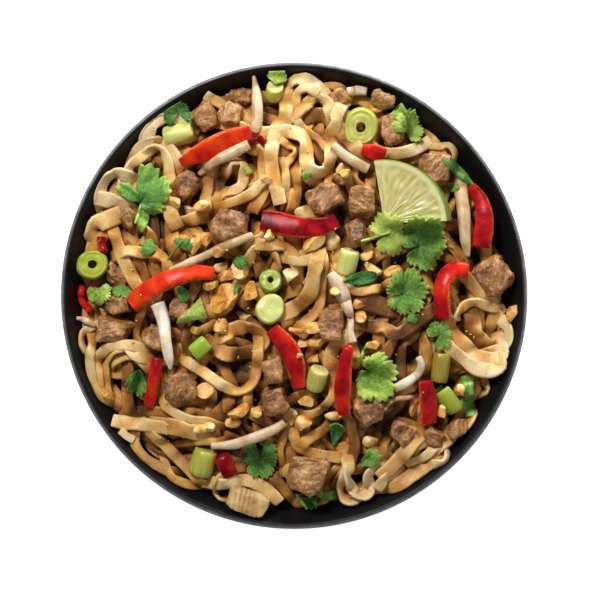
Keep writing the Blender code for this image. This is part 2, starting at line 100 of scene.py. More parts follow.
# --- noodles: width, tone from 0 (pale) to 1 (deep brown), ends that show ("s" start, "e" end), route
NOODLES = (
    (5.0, 0.75, "", ((-72, -57), (-62, -58), (-50, -63))),
    (5.0, 0.60, "", ((-98, -5), (-97, -12), (-98, -20))),
    (5.5, 0.70, "", ((-82, -36), (-83, -47), (-81, -58))),
    (4.0, 0.65, "", ((-74, -6), (-77.7, -17.7), (-75.7, -24), (-71, -29))),
    (5.0, 0.75, "", ((-53, -20), (-52, -28), (-54, -35))),
    (6.0, 0.55, "", ((-79, 20), (-74, 12), (-73, 6))),
    (6.0, 0.60, "", ((17, 11), (17.5, 4), (16, -3))),
    (6.0, 0.54, "", ((-1, 41.5), (0.8, 52), (0.8, 61))),
    (7.0, 0.70, "", ((4.5, 87.5), (14.6, 89), (21, 83), (28, 75.5), (34, 67.5))),
    (6.0, 0.40, "", ((4, 92), (8.5, 96.5), (12.5, 97.5), (16, 95), (18, 90))),
    (5.0, 0.45, "", ((-12, 87), (-6, 85.5), (0, 88), (4, 92))),
    (4.0, 0.30, "", ((11, 100.7), (13, 103), (17.7, 104), (23, 103))),
    (8.0, 0.60, "", ((88, -10), (89, -18), (95, -24), (102, -24))),
    (5.0, 0.70, "", ((46, -26), (48, -23), (50, -19))),
    (5.0, 0.65, "", ((65.5, -13), (63.5, -19.7), (64.5, -25), (66, -31), (65.6, -35))),
    (5.0, 0.65, "", ((52, -40), (52.3, -31), (53.3, -24), (58.4, -19.7))),
    (5.0, 0.65, "", ((-78.7, -67.6), (-78.7, -73), (-76, -78), (-72, -82), (-67, -84.4), (-61.4, -87))),
    (4.0, 0.60, "", ((-68, -77), (-65, -77.5), (-62, -77))),
    (4.0, 0.55, "", ((-61, -89), (-57, -91.6), (-50, -94))),
    (3.5, 0.50, "", ((-59, -73.7), (-46.6, -71.7), (-38, -71.7))),
    (4.0, 0.50, "", ((-3, -64), (-6.8, -73.7), (-6.8, -79))),
    (5.0, 0.65, "", ((-10, -90), (-4, -97), (0, -102), (4, -105))),
    (4.0, 0.60, "", ((44.6, -73), (43, -82), (38, -86.5))),
    (5.0, 0.70, "", ((57, -80), (58, -77), (60, -74))),
    (4.0, 0.80, "", ((-49.6, -57), (-44, -58.5), (-38, -59.4))),
    (4.0, 0.45, "", ((52, -48), (57, -46), (60, -44))),
    (3.5, 0.50, "", ((94, -40), (95.5, -44), (96, -48))),
    (6.5, 0.12, "", ((-73, 80), (-70, 85), (-64, 88.5), (-59, 88.5), (-54, 87))),
    (6.0, 0.32, "", ((-79, 69), (-75, 74.5), (-69, 77), (-62, 73), (-58, 67))),
    (5.0, 0.36, "", ((-75, 68), (-72, 73.5), (-66, 73), (-62.5, 67), (-61.5, 60))),
    (5.0, 0.25, "", ((-83, 58), (-81.5, 64), (-77, 67.5))),
    (6.5, 0.15, "", ((-96, 50), (-94.5, 56), (-90, 60), (-85, 60))),
    (7.0, 0.15, "s", ((-99, 48.5), (-93, 47.5), (-86, 46))),
    (5.0, 0.45, "", ((-90, 34), (-94, 30), (-98.6, 25))),
    (6.0, 0.38, "", ((-89, 31), (-85, 20), (-80, 10), (-76, 3))),
    (8.0, 0.30, "e", ((-100, 33.5), (-93, 37.5), (-85, 40.5))),
    (5.5, 0.30, "", ((-82, 22), (-74, 21), (-68, 21), (-63.5, 18), (-62, 13.5))),
    (7.0, 0.35, "e", ((-62, 44), (-60, 38.5), (-57.5, 33))),
    (6.0, 0.42, "e", ((-42.5, 54), (-43.5, 48), (-44, 41.5))),
    (7.0, 0.28, "", ((-4, 91), (-4, 98), (-2.5, 104), (1, 107), (5.5, 106.5), (10, 104))),
    (5.0, 0.35, "", ((1, 96), (2.3, 100.7), (6, 102.5), (9.5, 101))),
    (3.8, 0.30, "", ((3, 84), (7.5, 80), (12, 77), (15, 73), (18, 69), (17, 58))),
    (6.5, 0.22, "", ((-15, 80), (-9, 80.5), (-1, 80.5), (4, 78), (6, 74), (6, 69), (6.5, 64), (9, 61),
                     (13.6, 60.5), (17, 64.5), (18, 69))),
    (6.0, 0.36, "e", ((-19.6, 72), (-17, 72), (-15, 68), (-14.5, 62), (-14.5, 54), (-17.5, 46.6),
                      (-20.6, 41))),
    (6.5, 0.33, "e", ((-10, 77), (-11, 72), (-11.4, 67), (-10.4, 59), (-8.4, 52), (-6.8, 44.5))),
    (3.8, 0.30, "", ((-4, 57), (-4, 64), (0, 69), (0.3, 72), (-2, 73))),
    (5.0, 0.30, "", ((-32, 63), (-31, 65), (-25, 65), (-24.7, 59), (-26.7, 53), (-35, 49.6))),
    (4.5, 0.38, "", ((-31, 45.5), (-24.7, 48), (-19.6, 51), (-16, 55))),
    (6.0, 0.30, "", ((20.7, 85), (21, 89), (24, 94.5), (28, 97.5), (33, 97.5), (36.5, 95.5))),
    (5.5, 0.12, "e", ((46, 70.5), (55, 71), (62, 73.5), (68, 77.5))),
    (3.5, 0.35, "", ((71, 74), (77, 74.5), (80, 70), (79, 68))),
    (3.5, 0.25, "", ((-99, -15), (-104.5, -18), (-105.5, -22), (-103.7, -27))),
    (4.5, 0.46, "", ((-73.6, -33.5), (-79, -30), (-85, -30.5), (-90, -34))),
    (5.0, 0.42, "", ((-75.7, -30.4), (-82, -26.5), (-87.4, -27), (-91, -30), (-93, -34), (-93.5, -40),
                     (-92.5, -48))),
    (5.0, 0.34, "", ((-77.7, -24.8), (-85, -24.3), (-89.4, -24.8), (-93.5, -27), (-96.6, -31),
                     (-97.6, -35.5), (-96.6, -41), (-95.6, -48))),
    (4.4, 0.40, "", ((-100, -24), (-101, -31), (-100, -40), (-98.6, -44.6), (-95, -50))),
    (5.0, 0.38, "", ((-22, 18), (-19, 23), (-12, 22), (-8, 17), (-9, 11))),
    (6.0, 0.40, "", ((-15, 25), (-5, 24), (0, 18), (2, 11))),
    (4.5, 0.35, "", ((1, 17), (7, 17.5), (12, 20))),
    (5.0, 0.42, "", ((14, 18), (13.5, 9), (13, 2), (12, -6), (4.5, -14))),
    (7.0, 0.45, "", ((11, 18), (9.5, 10), (8, 2), (3, -4), (-4, -8))),
    (8.0, 0.72, "", ((27, -1), (36, -3), (46, -6))),
    (4.0, 0.32, "", ((26, 5), (31, 2), (38, 3), (43, 4), (47, 7), (53, 11))),
    (6.5, 0.48, "", ((-36, -21), (-30, -16.5), (-22, -15.5), (-16.5, -18), (-14, -22), (-17, -26),
                     (-24, -28), (-33, -28.5), (-40, -24))),
    (5.0, 0.30, "", ((-17.5, -26), (-18.5, -36), (-20.5, -43), (-27, -47), (-35, -44), (-42, -39),
                     (-50, -34))),
    (3.5, 0.40, "", ((75.8, 26), (78.8, 24.7), (81.4, 20.6))),
    (6.0, 0.28, "", ((84, 10), (87, 7), (92, 2), (99, -3.4))),
    (4.6, 0.24, "s", ((80, -12.5), (80.5, -9), (84, -5), (89, -3), (94, -4.5), (99, -6.4), (104, -6))),
    (6.0, 0.20, "", ((105, -14.6), (106.5, -20), (105.5, -25), (102, -27), (96.7, -28))),
    (6.5, 0.26, "", ((78, -17.5), (84, -24), (89, -29), (94, -31), (100, -31.4), (103.5, -28.4))),
    (6.2, 0.20, "", ((77, -26), (84, -31.5), (90, -36), (95.7, -37), (100, -36.5), (102.5, -33.5))),
    (6.0, 0.68, "", ((30, -14), (38, -15), (44, -15.5), (50, -18.5), (60, -13), (68, -7))),
    (4.0, 0.42, "", ((19, -41), (18.7, -48.7), (16, -53), (11, -57), (5, -58.4))),
    (4.5, 0.38, "", ((-65, -43), (-65, -51), (-62, -55), (-57, -58.4), (-50, -61), (-42.5, -62))),
    (8.0, 0.70, "", ((-66, -64), (-58, -64.5), (-50, -67))),
    (6.2, 0.36, "s", ((-90, -61.5), (-83, -63), (-75, -63.5), (-66, -64.5))),
    (3.5, 0.08, "se", ((-86, -66.5), (-82.5, -69.5), (-79, -71.5))),
    (5.5, 0.48, "", ((-69, -69.6), (-64, -73.7), (-59, -79), (-54, -84), (-49, -89), (-46.6, -92))),
    (5.0, 0.45, "", ((-28, -85.4), (-35, -89), (-39, -93), (-38.5, -98), (-35.4, -101))),
    (6.0, 0.18, "e", ((-35, -93), (-30, -91.6), (-23, -91.6), (-17, -94), (-11.4, -98), (-7, -102.5))),
    (5.5, 0.26, "e", ((0, -69), (2, -74), (8, -77), (15, -79), (23.5, -80))),
    (5.0, 0.40, "", ((28.4, -65.6), (30, -73.7), (28, -81.4), (25.3, -86.5), (21, -93), (20.5, -98))),
    (5.0, 0.18, "", ((24.8, -90), (22.8, -96.7), (25.8, -101.8), (30, -102.3), (32.4, -99))),
    (5.5, 0.18, "", ((26.8, -83), (26.3, -89), (28, -94), (31.4, -98.7), (35.5, -98.7), (37.6, -95.7),
                     (36.5, -89), (40, -85))),
    (5.0, 0.38, "", ((6, -71), (13.6, -66.6), (17, -63))),
    (7.0, 0.50, "s", ((42, -90), (48, -84.5), (54, -78), (58, -72))),
    (7.0, 0.56, "", ((50, -94), (58, -89), (65.5, -83.5), (71, -79))),
    (4.5, 0.14, "", ((65, -79), (69, -75.5), (74.5, -75), (76, -79), (73, -83))),
    (7.5, 0.50, "", ((74.5, -72), (80, -66.5), (87, -62))),
    (5.0, 0.30, "s", ((41, -96), (43, -93), (45, -90))),
    (5.0, 0.20, "s", ((-44, 99.5), (-40, 97), (-36, 95))),
    (4.0, 0.10, "", ((-34, 84), (-29.5, 84.3), (-25, 83.5))),
    (6.0, 0.05, "", ((-72, 78), (-70, 84.5), (-64, 88.5), (-58, 88), (-54, 84))),
)
FILLER_LENGTHS = (70, 150)
SHORT_LENGTHS = (20, 46)  # the last fillers, which close the gaps that are left
LONG_TRIES = 900
FILLER_WIDTHS = (5.2, 7.8)
FILLER_TRIES = 3200
FILLER_TOP = -6.4  # fillers stop this far below the heap's surface
CORE_TOP = -12.0  # and the core begins this far below it
UNDER_TOPPINGS = 3.0  # noodles pass this far below the tops of the toppings that lie on them
NOODLE_SWELL = 1.12  # how much wider than in the table a noodle is made

# --- red pepper strips, in the solids' order: width, tone from 0 (orange) to 1 (dark), route, and how wide
# it is along its length
PEPPER = (
    (10.0, 0.25, ((-56, 65.5), (-47, 69.5), (-34, 75), (-22.5, 78.5)), (0.4, 0.8, 1.0, 1.1, 1.15, 1.1)),
    (10.5, 0.85, ((-16, 36.5), (-7, 35), (4, 33), (13, 33.5), (20.5, 36.5)), (0.95, 1.0, 1.0, 0.95, 0.7)),
    (7.5, 0.35, ((33.5, 72), (39, 70.5), (44, 68.5)), (0.7, 1.0, 1.1)),
    (8.6, 0.62, ((87.5, 54.5), (92.3, 47), (94.2, 38), (92.3, 24)), (0.6, 0.9, 1.0, 1.05, 1.0)),
    (9.0, 0.28, ((-80, -4.5), (-73, 1), (-62, 7.5), (-50, 11), (-39, 11)), (0.95, 1.05, 1.0, 0.9, 0.65)),
    (8.2, 0.62, ((-11, -16), (-4, -24), (1, -34), (2.5, -45)), (0.9, 1.15, 1.05, 0.7)),
    (7.5, 0.60, ((26.5, -25), (24.5, -36), (23.5, -48), (24.5, -58)), (0.7, 1.0, 1.05, 0.95, 0.8)),
    (8.0, 0.58, ((85.5, 12), (78.5, 12.5), (73.5, 7), (72.5, -2), (73.5, -11)), (0.9, 1.0, 1.0, 1.0, 0.8)),
    (8.0, 0.60, ((64.5, -42), (66, -52), (66.3, -62.5)), (0.85, 1.0, 1.0)),
    (6.0, 0.45, ((-67, -31), (-68, -38), (-69.5, -46), (-71.5, -54)), (1.0, 1.0, 0.95, 0.8)),
    (8.0, 0.66, ((-35.5, -79.5), (-33.5, -84), (-31.5, -88)), (1.0, 1.0)),
)
PEPPER_THICKNESS = 4.4
PEPPER_SCRAPS = (
    (3.5, 0.60, ((-105, 5), (-105.5, -2), (-101, -8))),
    (4.0, 0.95, ((-22, 75), (-18, 77), (-14, 75))),
    (5.0, 0.90, ((-95, 29), (-95, 25), (-94, 21))),
)

# --- scallions, in the solids' order: outer and inner radius, length, azimuth and elevation of the axis,
# arc, height against breadth, tone of the outside from 0 (white) to 1 (deep green), tone of the cut face,
# how stained by sauce, and how much its rings show
SCALLIONS = (
    (6.2, 0.05, 14.5, 13, 10, 360, 1.0, 0.26, 0.20, 0.10, 0.2),
    (4.6, 0.05, 8.0, 80, 52, 360, 1.0, 0.34, 0.22, 0.15, 0.2),
    (8.9, 2.6, 8.0, 250, 80, 360, 1.0, 0.45, 0.26, 0.15, 0.5),
    (7.6, 2.3, 7.0, 20, 78, 360, 1.0, 0.70, 0.48, 0.45, 0.3),
    (7.2, 0.05, 8.0, 60, 84, 360, 1.0, 0.32, 0.20, 0.08, 0.0),
    (5.8, 1.5, 5.5, 100, 76, 360, 1.0, 0.70, 0.52, 0.40, 0.3),
    (5.4, 0.05, 12.0, 76, 12, 360, 1.0, 0.26, 0.10, 0.05, 0.2),
    (4.4, 0.05, 9.4, 41, 4, 360, 0.6, 0.55, 0.50, 0.10, 0.1),
    (5.2, 0.05, 11.0, 70, 28, 360, 1.0, 0.30, 0.15, 0.55, 0.3),
    (4.8, 0.6, 14.5, 84, 8, 360, 0.9, 0.50, 0.40, 1.30, 0.1),
    (7.0, 5.0, 13.5, 128, 14, 200, 0.8, 0.46, 0.44, 0.10, 0.1),
    (6.3, 0.05, 13.0, 72, 12, 360, 1.0, 0.36, 0.30, 0.60, 0.3),
)
LAYER = 3.0  # thickness of one rolled layer

# --- bean sprouts: radius, tone from 0 (white) to 1 (tan), route, and how thick it is along its length;
# the first ones are the solids, in their order
SPROUTS = (
    (3.0, 0.10, ((-67, -3.5), (-64, -12), (-62.5, -22), (-61.2, -30), (-60.3, -36)),
     (1.2, 1.2, 1.1, 1.0, 0.95, 0.95, 0.75, 0.2)),
    (2.5, 0.42, ((-20.5, 112), (-18.5, 99), (-18, 89), (-19, 80)), (0.15, 0.5, 0.95, 1.15, 1.2, 0.9)),
    (2.4, 0.42, ((18.7, 73.6), (24.3, 69), (30.5, 65), (36.5, 62)), (0.9, 1.0, 1.1, 1.0)),
    (2.7, 0.62, ((82.5, 60), (82.6, 50), (83.6, 40), (84, 30), (85.2, 19)),
     (1.25, 1.25, 1.15, 1.1, 0.95, 0.45)),
    (2.3, 0.48, ((-41, -74), (-30, -73), (-20, -69.8), (-10, -65.5), (-4.5, -62)),
     (0.7, 1.0, 1.15, 1.05, 0.85)),
)
THIN_SPROUTS = (
    (2.6, 0.50, ((-47, 60), (-38, 66), (-30, 70), (-22, 74)), (0.45, 0.8, 1.0, 1.1, 1.0)),
    (2.2, 0.52, ((-61, 12.5), (-54, 15), (-46, 18.5), (-38, 22.5), (-30, 25.5), (-20, 29.5)),
     (0.5, 0.9, 1.0, 1.0, 0.8)),
    (2.7, 0.35, ((17.5, 11), (21.5, 5), (25, -3), (27.5, -11), (27.5, -18), (28.5, -23)),
     (0.8, 1.25, 1.3, 1.1, 0.65, 0.6, 0.85)),
    (2.2, 0.20, ((61, -30), (62.5, -34), (61, -38), (56, -42), (49, -45.5)), (0.75, 0.85, 1.0, 1.2, 1.0)),
    (1.2, 0.55, ((44, -56), (49, -51), (56, -50), (61, -49.5)), (0.8, 1.0, 0.9)),
    (1.7, 0.40, ((-108, -11), (-104, -12), (-98, -15)), (0.5, 1.0, 0.5)),
    (2.6, 0.30, ((26, 100.5), (31, 101.5), (36, 101)), (0.8, 1.0, 0.8)),
)

# --- the lime wedge, as in the solids
LIME_RADIUS, LIME_DEPTH = 31.0, 24.0
LIME_FROM, LIME_TO = 2.0, 99.0
LIME_LEAN, LIME_LEAN_TOWARDS = 11.0, 205.0
LIME_CENTRE = (44.0, 35.5)
LIME_MEMBRANES = (2, 21, 54, 88, 99)  # degrees round the cut face

# --- chopped peanuts: x, y, length, width, turn in degrees
PEANUTS = (
    (39.5, 92.5, 8, 5, 0), (5.5, 41, 9, 6, 10), (9.5, 25, 12, 7, 45), (18, 28, 10, 8, 80),
    (-26.5, 12.5, 9, 8, 70), (-36.5, 14.5, 7, 6, 0), (-33, 9, 7, 6, 30), (-34.5, -1.5, 14, 11, 60),
    (-41, 5.5, 8, 6, 0), (-21, 2, 9, 7, 80), (-2.5, 9.3, 8, 7, 20), (37, 19.3, 9, 5, 0),
    (38, 13.5, 9, 6, -30), (48.5, 12, 8, 5, 20), (31.5, -4.5, 7, 5, 0), (32.5, -10, 6, 6, 0),
    (9.5, -14.5, 10, 7, 10), (2.5, -18.3, 10, 5, -20), (4.5, -24, 6, 5, 80), (11.5, -23, 9, 5, 0),
    (10, -31.4, 7, 6, 0), (2.9, -29.4, 3, 3, 0), (-36, -15.5, 9, 6, 80), (-25, -10, 8, 6, 0),
    (-27.5, -56, 10, 9, 0), (-18, -56.5, 7, 6, 0), (-30, -62.5, 7, 5, 10), (-2, -59.5, 8, 6, 70),
    (4.5, -62, 8, 7, 0), (5, -52, 8, 6, 0), (19.5, -59, 8, 4, 0), (59, -55, 9, 5, 80),
    (37.5, -71.5, 7, 5, 10), (-47, -65, 7, 5, 0), (-42, -65, 6, 5, 30), (-43.5, -46.5, 8, 7, 0),
    (-48.5, 24.5, 8, 5, 80), (-42.5, 26.7, 6, 5, 0), (-58, 46.5, 8, 5, -50), (-52, 42, 8, 5, -30),
    (-45.5, 44, 8, 5, 20), (23, 62, 5, 5, 0), (108, -9, 9, 5, 80), (39, -25, 7, 6, 0),
    (-47.6, -16.6, 6, 5, 0), (24.5, 60, 5, 5, 20), (-14, 57, 5, 4, 0), (-36, 22, 7, 5, 40),
    (58, -2, 6, 5, 0), (20, 2, 5, 4, 0), (-12, 30, 6, 5, 20), (-92, -49.5, 5, 3, 0),
    (75.5, 42.5, 9, 5, 80), (80.5, -46.5, 6, 6, 0),
    (72.5, -58, 8, 4, 80),
)
NUT_SWELL = 1.18  # how much larger than in the table a nut is made
NUT_CUTS = (4, 5, 6)  # how many flat cuts shape a nut
NUT_HEIGHTS = (0.7, 0.95)  # against its width
NUT_LIE = 0.38  # how far its middle lies above the food under it, against its height
NUT_WAVES = ((4, 4, 0.22), (1.4, 1.4, 0.05))
NUT_ABOVE = 1.2  # no nut reaches higher than this above the solids
CRUMB_COUNT = 200
CRUMB_REACH = 95.0
CRUMB_SIZES = (0.35, 0.95)

# --- coriander: each leaf is a fan round the end of its stalk: x, y, heading and half spread in degrees, its
# lengths from the right edge round to the left, tone at the base and at the tip from 0 (yellow-green) to 1
# (dark), with the dark base tones and the dark low leaves partly painted shade, and how far it stands off
FANS = (
    (-76, 46, 54, 116, (6, 10, 13.5, 15.5, 18, 20, 21.5, 20.5, 9, 14, 15.5, 9), 0.90, 0.36, 2.5),
    (45, 29.5, 20, 165, (7, 9.5, 11.5, 12.5, 11.5, 11.5, 12.5, 12.5, 10, 6), 0.25, 0.02, 1.8),
    (61, 24, 20, 168, (8, 10, 13, 14.5, 13.5, 16.5, 17.5, 16.5, 14.5, 9, 8), 0.95, 0.30, 3.0),
    (53, 0.5, 10, 172, (9, 9.5, 10.5, 12.5, 13.5, 15, 15.5, 13, 9, 8.5), 0.80, 0.30, 1.2),
    (36, -36.5, -25, 160, (4, 5, 11, 15.5, 18.5, 18.5, 16, 14.5, 12.5, 9, 6.5, 5), 0.60, 0.12, 2.5),
    (-17, -80, -90, 165, (10, 9.5, 9, 9.5, 12, 11, 9, 11, 10), 0.85, 0.6, 1.0),
    (71, -20, 35, 150, (6, 8, 7, 8, 8, 6), 0.7, 0.4, 1.0),
    (-97, 3, 280, 120, (5, 7, 8.5, 8, 6), 0.45, 0.15, 1.0),
    (56, 81, 60, 130, (6, 9, 9, 12, 10, 7), 0.4, 0.25, 1.5),
    (-57, 90, 100, 140, (8, 6, 7, 9, 8), 0.85, 0.85, 1.0),
    (3, -99, -32, 26, (10, 11, 9), 0.95, 0.95, 0.0), (32, -84, 32, 34, (11, 13, 11), 0.6, 0.5, 0.5),
    (-9, 104, 80, 60, (7, 9, 7), 0.3, 0.2, 1.5),
    (-67, 23, 170, 50, (7, 9, 8), 0.7, 0.6, 0.0), (-55, 23, 60, 80, (4, 7, 6, 7), 0.9, 0.75, 0.0),
    (5.4, 56, 80, 46, (5, 5.5, 4), 0.4, 0.4, 0.5), (-84, 6, 260, 60, (7, 8, 7), 0.7, 0.6, 0.5),
    (-26, 13, 95, 50, (6, 7.5, 6), 0.7, 0.8, 0.5), (55, -12, 20, 50, (5, 6, 5), 0.8, 0.7, 0.0),
    (-25, 60, 30, 40, (4, 5, 4), 0.3, 0.3, 0.5), (78, 51, 70, 46, (5, 6, 5), 0.7, 0.6, 0.0),
    (-76, -36, 256, 46, (8, 12, 15, 16, 13, 8), 0.85, 0.5, 0.0),
)
# --- plain pointed leaves: x, y, heading, width, length, tone at the base and at the tip, and stand-off
BLADES = (
    (-74, 44, 267, 7, 13.5, 0.55, 0.30, 1.5), (73, 69, -42, 7, 22, 0.85, 0.55, 1.5),
    (41, 10, 190, 8, 18, 0.95, 0.9, 0.0), (-52, -3, 120, 7, 9, 0.85, 0.7, 0.0),
    (52, 86, 50, 3, 9, 0.3, 0.2, 1.5), (-27, 7, 250, 3, 7, 0.8, 0.6, 0.5),
)
# --- torn pieces with straight edges, given as the fans are
TORN = (
    (-42, -11, 150, 39, (11.2, 10.0, 10.3, 12.2, 16.2), 0.30, 0.16, 1.2),
    (19, -75, 76, 23, (11, 12.5, 13, 11.5), 1.0, 0.9, 0.0),
)
LEAF_THICKNESS = 0.3
# --- round stalks and flat strips of green: radius or width, tone, and route
STALKS = (
    (0.8, 0.05, ((32.5, 26.5), (38, 28), (42, 29.6), (47, 31))),
    (0.85, 0.10, ((-78, 35.5), (-76.8, 39), (-75.5, 45))),
    (0.9, 0.20, ((1, -98), (4, -102.5), (6.5, -106))),
    (0.9, 0.30, ((7.4, -98.5), (9.5, -102), (11.5, -104))),
    (0.8, 0.30, ((30, -35), (33, -29), (35.5, -24))),
    (0.8, 0.25, ((53, 86), (56, 89.5), (60, 92))),
    (0.5, 0.55, ((-62, 18), (-58, 23), (-55, 27))),
)
GREEN_STRIPS = (
    (5.6, 0.55, ((85.5, -40), (86, -49.5), (87.5, -60))),
    (4.5, 0.50, ((12, -98), (17, -99.5), (21, -98))),
    (6.5, 0.28, ((49, 88), (52, 91), (55, 93))),
)


def mm_box(node):
    """A solid's lowest and highest corners, in millimetres."""
    return [Vector(corner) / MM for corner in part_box(node)]


def nodes_named(start):
    """The solids of one kind, in order."""
    return sorted(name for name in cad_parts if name.startswith(start))


def clamp(value):
    """The value, kept from 0 to 1."""
    return min(max(value, 0), 1)


# --- settings


class PadThaiSizes(bpy.types.PropertyGroup):
    """Sizes that change the helping without moving it off its solids."""

    noodle_thickness: FloatProperty(
        name="Noodle thickness", description="Thickness of a cooked noodle", default=1.9 * MM,
        min=0.5 * MM, max=4 * MM, unit="LENGTH",
    )
    filler_noodles: IntProperty(
        name="Hidden noodles", description="Noodles that fill the heap under the ones on top", default=210,
        min=0, max=300,
    )
    bowl_steps: IntProperty(
        name="Bowl facets", description="Facets round the bowl", default=180, min=24, max=360,
    )


class PadThaiColours(bpy.types.PropertyGroup):
    """Colours that a cook or a potter would change."""

    bowl_glaze: FloatVectorProperty(
        name="Glaze", description="Colour of the bowl's satin glaze", subtype="COLOR", size=3,
        default=(0.0056, 0.0055, 0.0062), min=0, max=1,
    )
    sauce: FloatVectorProperty(
        name="Sauce", description="Colour of the sauce that stains the noodles", subtype="COLOR", size=3,
        default=(0.098, 0.042, 0.014), min=0, max=1,
    )
    floor: FloatVectorProperty(
        name="Floor", description="Colour of the studio floor", subtype="COLOR", size=3,
        default=(0.93, 0.93, 0.93), min=0, max=1,
    )


# --- materials


def colour(code):
    """Linear RGBA from an sRGB hex code."""
    parts = [int(code[i : i + 2], 16) / 255 for i in (0, 2, 4)]
    return (*[c / 12.92 if c <= 0.04045 else ((c + 0.055) / 1.055) ** 2.4 for c in parts], 1)


def feed(socket, value):
    """Links a node's output to a socket, or sets the socket's own value."""
    if isinstance(value, bpy.types.NodeSocket):
        socket.id_data.links.new(value, socket)
    else:
        socket.default_value = value


def add_node(tree, kind, inputs=(), stops=(), **settings):
    """Adds a shader node with its inputs, in order or by name, and its colour stops. Gives its outputs."""
    made = tree.nodes.new("ShaderNode" + kind)
    for key, value in settings.items():
        setattr(made, key, value)
    for key, value in inputs.items() if isinstance(inputs, dict) else enumerate(inputs):
        feed(made.inputs[key], value)
    if stops:
        elements = made.color_ramp.elements
        while len(elements) < len(stops):
            elements.new(1)
        for element, (place, code) in zip(elements, stops):
            element.position = place
            element.color = colour(code)
    return made.outputs


def new_material(name):
    """A material, the function that adds a node to it, and its shader."""
    made = bpy.data.materials.new(name)
    made.use_nodes = True
    return made, partial(add_node, made.node_tree), made.node_tree.nodes["Principled BSDF"]


def per_mm(size):
    """Scale of a pattern whose features are that many millimetres across, on coordinates in metres."""
    return 1 / (size * MM)


def set_shader(shader, **values):
    """Sets or links the shader's inputs by their names in small letters."""
    for key, value in values.items():
        feed(shader.inputs[key.replace("_", " ").title().replace("Ior", "IOR")], value)


def satin_black_glaze(glaze):
    """Satin black glazed stoneware, dipped and fired: soft wide highlights, and a painted grey highlight
    along the lip.
    """
    made, add, shader = new_material("satin_black_glaze")
    place = add("TexCoord")["Object"]
    lip = add("Attribute", attribute_name="lip")["Fac"]
    mottle = add("TexNoise", {"Vector": place, "Scale": per_mm(6), "Detail": 4, "Roughness": 0.6})["Fac"]
    # painted highlight: a light grey, broken up by the mottle, mixed into the glaze on the lip where the rim
    # catches the light
    thin = add("Math", [lip, mottle], operation="MULTIPLY")[0]
    base = add("Mix", {"Factor": thin, "A": (*glaze, 1), "B": colour("9C9B9C")}, data_type="RGBA")["Result"]
    rough = add("MapRange", [mottle, 0, 1, 0.42, 0.52])[0]
    rough = add("Math", [lip, -0.16, rough], operation="MULTIPLY_ADD")[0]
    grit = add("TexNoise", {"Vector": place, "Scale": per_mm(0.9), "Detail": 3})["Fac"]
    bump = add("Bump", {"Height": grit, "Strength": 0.12, "Distance": 0.15 * MM})["Normal"]
    set_shader(shader, base_color=base, roughness=rough, normal=bump, specular_ior_level=0.24)
    return made


def rice_noodle(sauce):
    """Cooked flat rice noodle: translucent, moist starch, stained and specked by tamarind sauce, darker
    deeper in the heap by more sauce and painted shade, with a painted highlight along the edges of those on
    top.
    """
    made, add, shader = new_material("rice_noodle")
    place = add("TexCoord")["Object"]
    strand = add("Attribute", attribute_name="strand")["Vector"]
    depth = add("Attribute", attribute_name="depth")["Fac"]
    split = add("SeparateXYZ", [strand])
    stain = add("TexNoise", {"Vector": place, "Scale": per_mm(15), "Detail": 1.5})["Fac"]
    splash = add("TexNoise", {"Vector": place, "Scale": per_mm(2.6), "Detail": 3, "Roughness": 0.6})["Fac"]
    tone = split["Z"]
    for part in ([stain, 0.3, 0.7, -0.2, 0.25], [splash, 0.35, 0.65, -0.03, 0.05]):
        tone = add("Math", [tone, add("MapRange", part)[0]], operation="ADD")[0]
    # painted shade: the deeper a noodle lies in the heap, the darker and browner it is, partly more sauce
    tone = add("Math", [depth, 0.6, tone], operation="MULTIPLY_ADD")[0]
    base = add(
        "ValToRGB", [tone],
        stops=(
            (0.0, "F6DFB0"), (0.22, "F2D08E"), (0.42, "E4B05C"), (0.62, "C4863C"), (0.82, "8A5624"),
            (1, "523214"),
        ),
    )["Color"]
    bare = add("TexNoise", {"Vector": place, "Scale": per_mm(24), "Detail": 1})["Fac"]
    bare = add("MapRange", [bare, 0.5, 0.64, 0, 0.3])[0]
    bare = add("Math", [bare, depth], operation="SUBTRACT", use_clamp=True)[0]
    streak_place = add("VectorMath", [strand, (0.12, 2.4, 0)], operation="MULTIPLY")[0]
    streak = add("TexNoise", {"Vector": streak_place, "Scale": 1, "Detail": 3})["Fac"]
    streaked = add("MapRange", [streak, 0.4, 0.8, 0, 0.3])[0]
    spice = add("TexNoise", {"Vector": place, "Scale": per_mm(0.8), "Detail": 2})["Fac"]
    spice = add("MapRange", [spice, 0.64, 0.74, 0, 0.6])[0]
    grain = add("TexNoise", {"Vector": place, "Scale": per_mm(0.7), "Detail": 3, "Roughness": 0.7})["Fac"]
    shade = add("MapRange", [grain, 0.34, 0.56, 0.24, 0])[0]
    rough = add("MapRange", [grain, 0.35, 0.65, 0.2, 0.5])[0]
    rough = add("Math", [depth, 0.3, rough], operation="MULTIPLY_ADD")[0]
    # painted highlight along each noodle's edges, partly the lighter thin edge of the translucent starch;
    # none on noodles that lie deep
    edge = add("Math", [split["Y"]], operation="ABSOLUTE")[0]
    edge = add("MapRange", [edge, 1.9, 3.3, 0, 0.22])[0]
    edge = add("Math", [edge, depth], operation="SUBTRACT", use_clamp=True)[0]
    for share, tint in (
        (bare, colour("E4C494")), (streaked, colour("BE8444")), (spice, (*sauce, 1)),
        (shade, colour("8A5826")), (edge, colour("F8DFAC")),
    ):
        base = add("Mix", {"Factor": share, "A": base, "B": tint}, data_type="RGBA")["Result"]
    height = add("Math", [grain, 0.6, streak], operation="MULTIPLY_ADD")[0]
    bump = add("Bump", {"Height": height, "Strength": 0.4, "Distance": 0.35 * MM})["Normal"]
    set_shader(
        shader, base_color=base, roughness=rough, normal=bump, specular_ior_level=0.34,
        subsurface_weight=0.2, subsurface_radius=(1.0, 0.75, 0.55), subsurface_scale=0.7 * MM,
    )
    return made


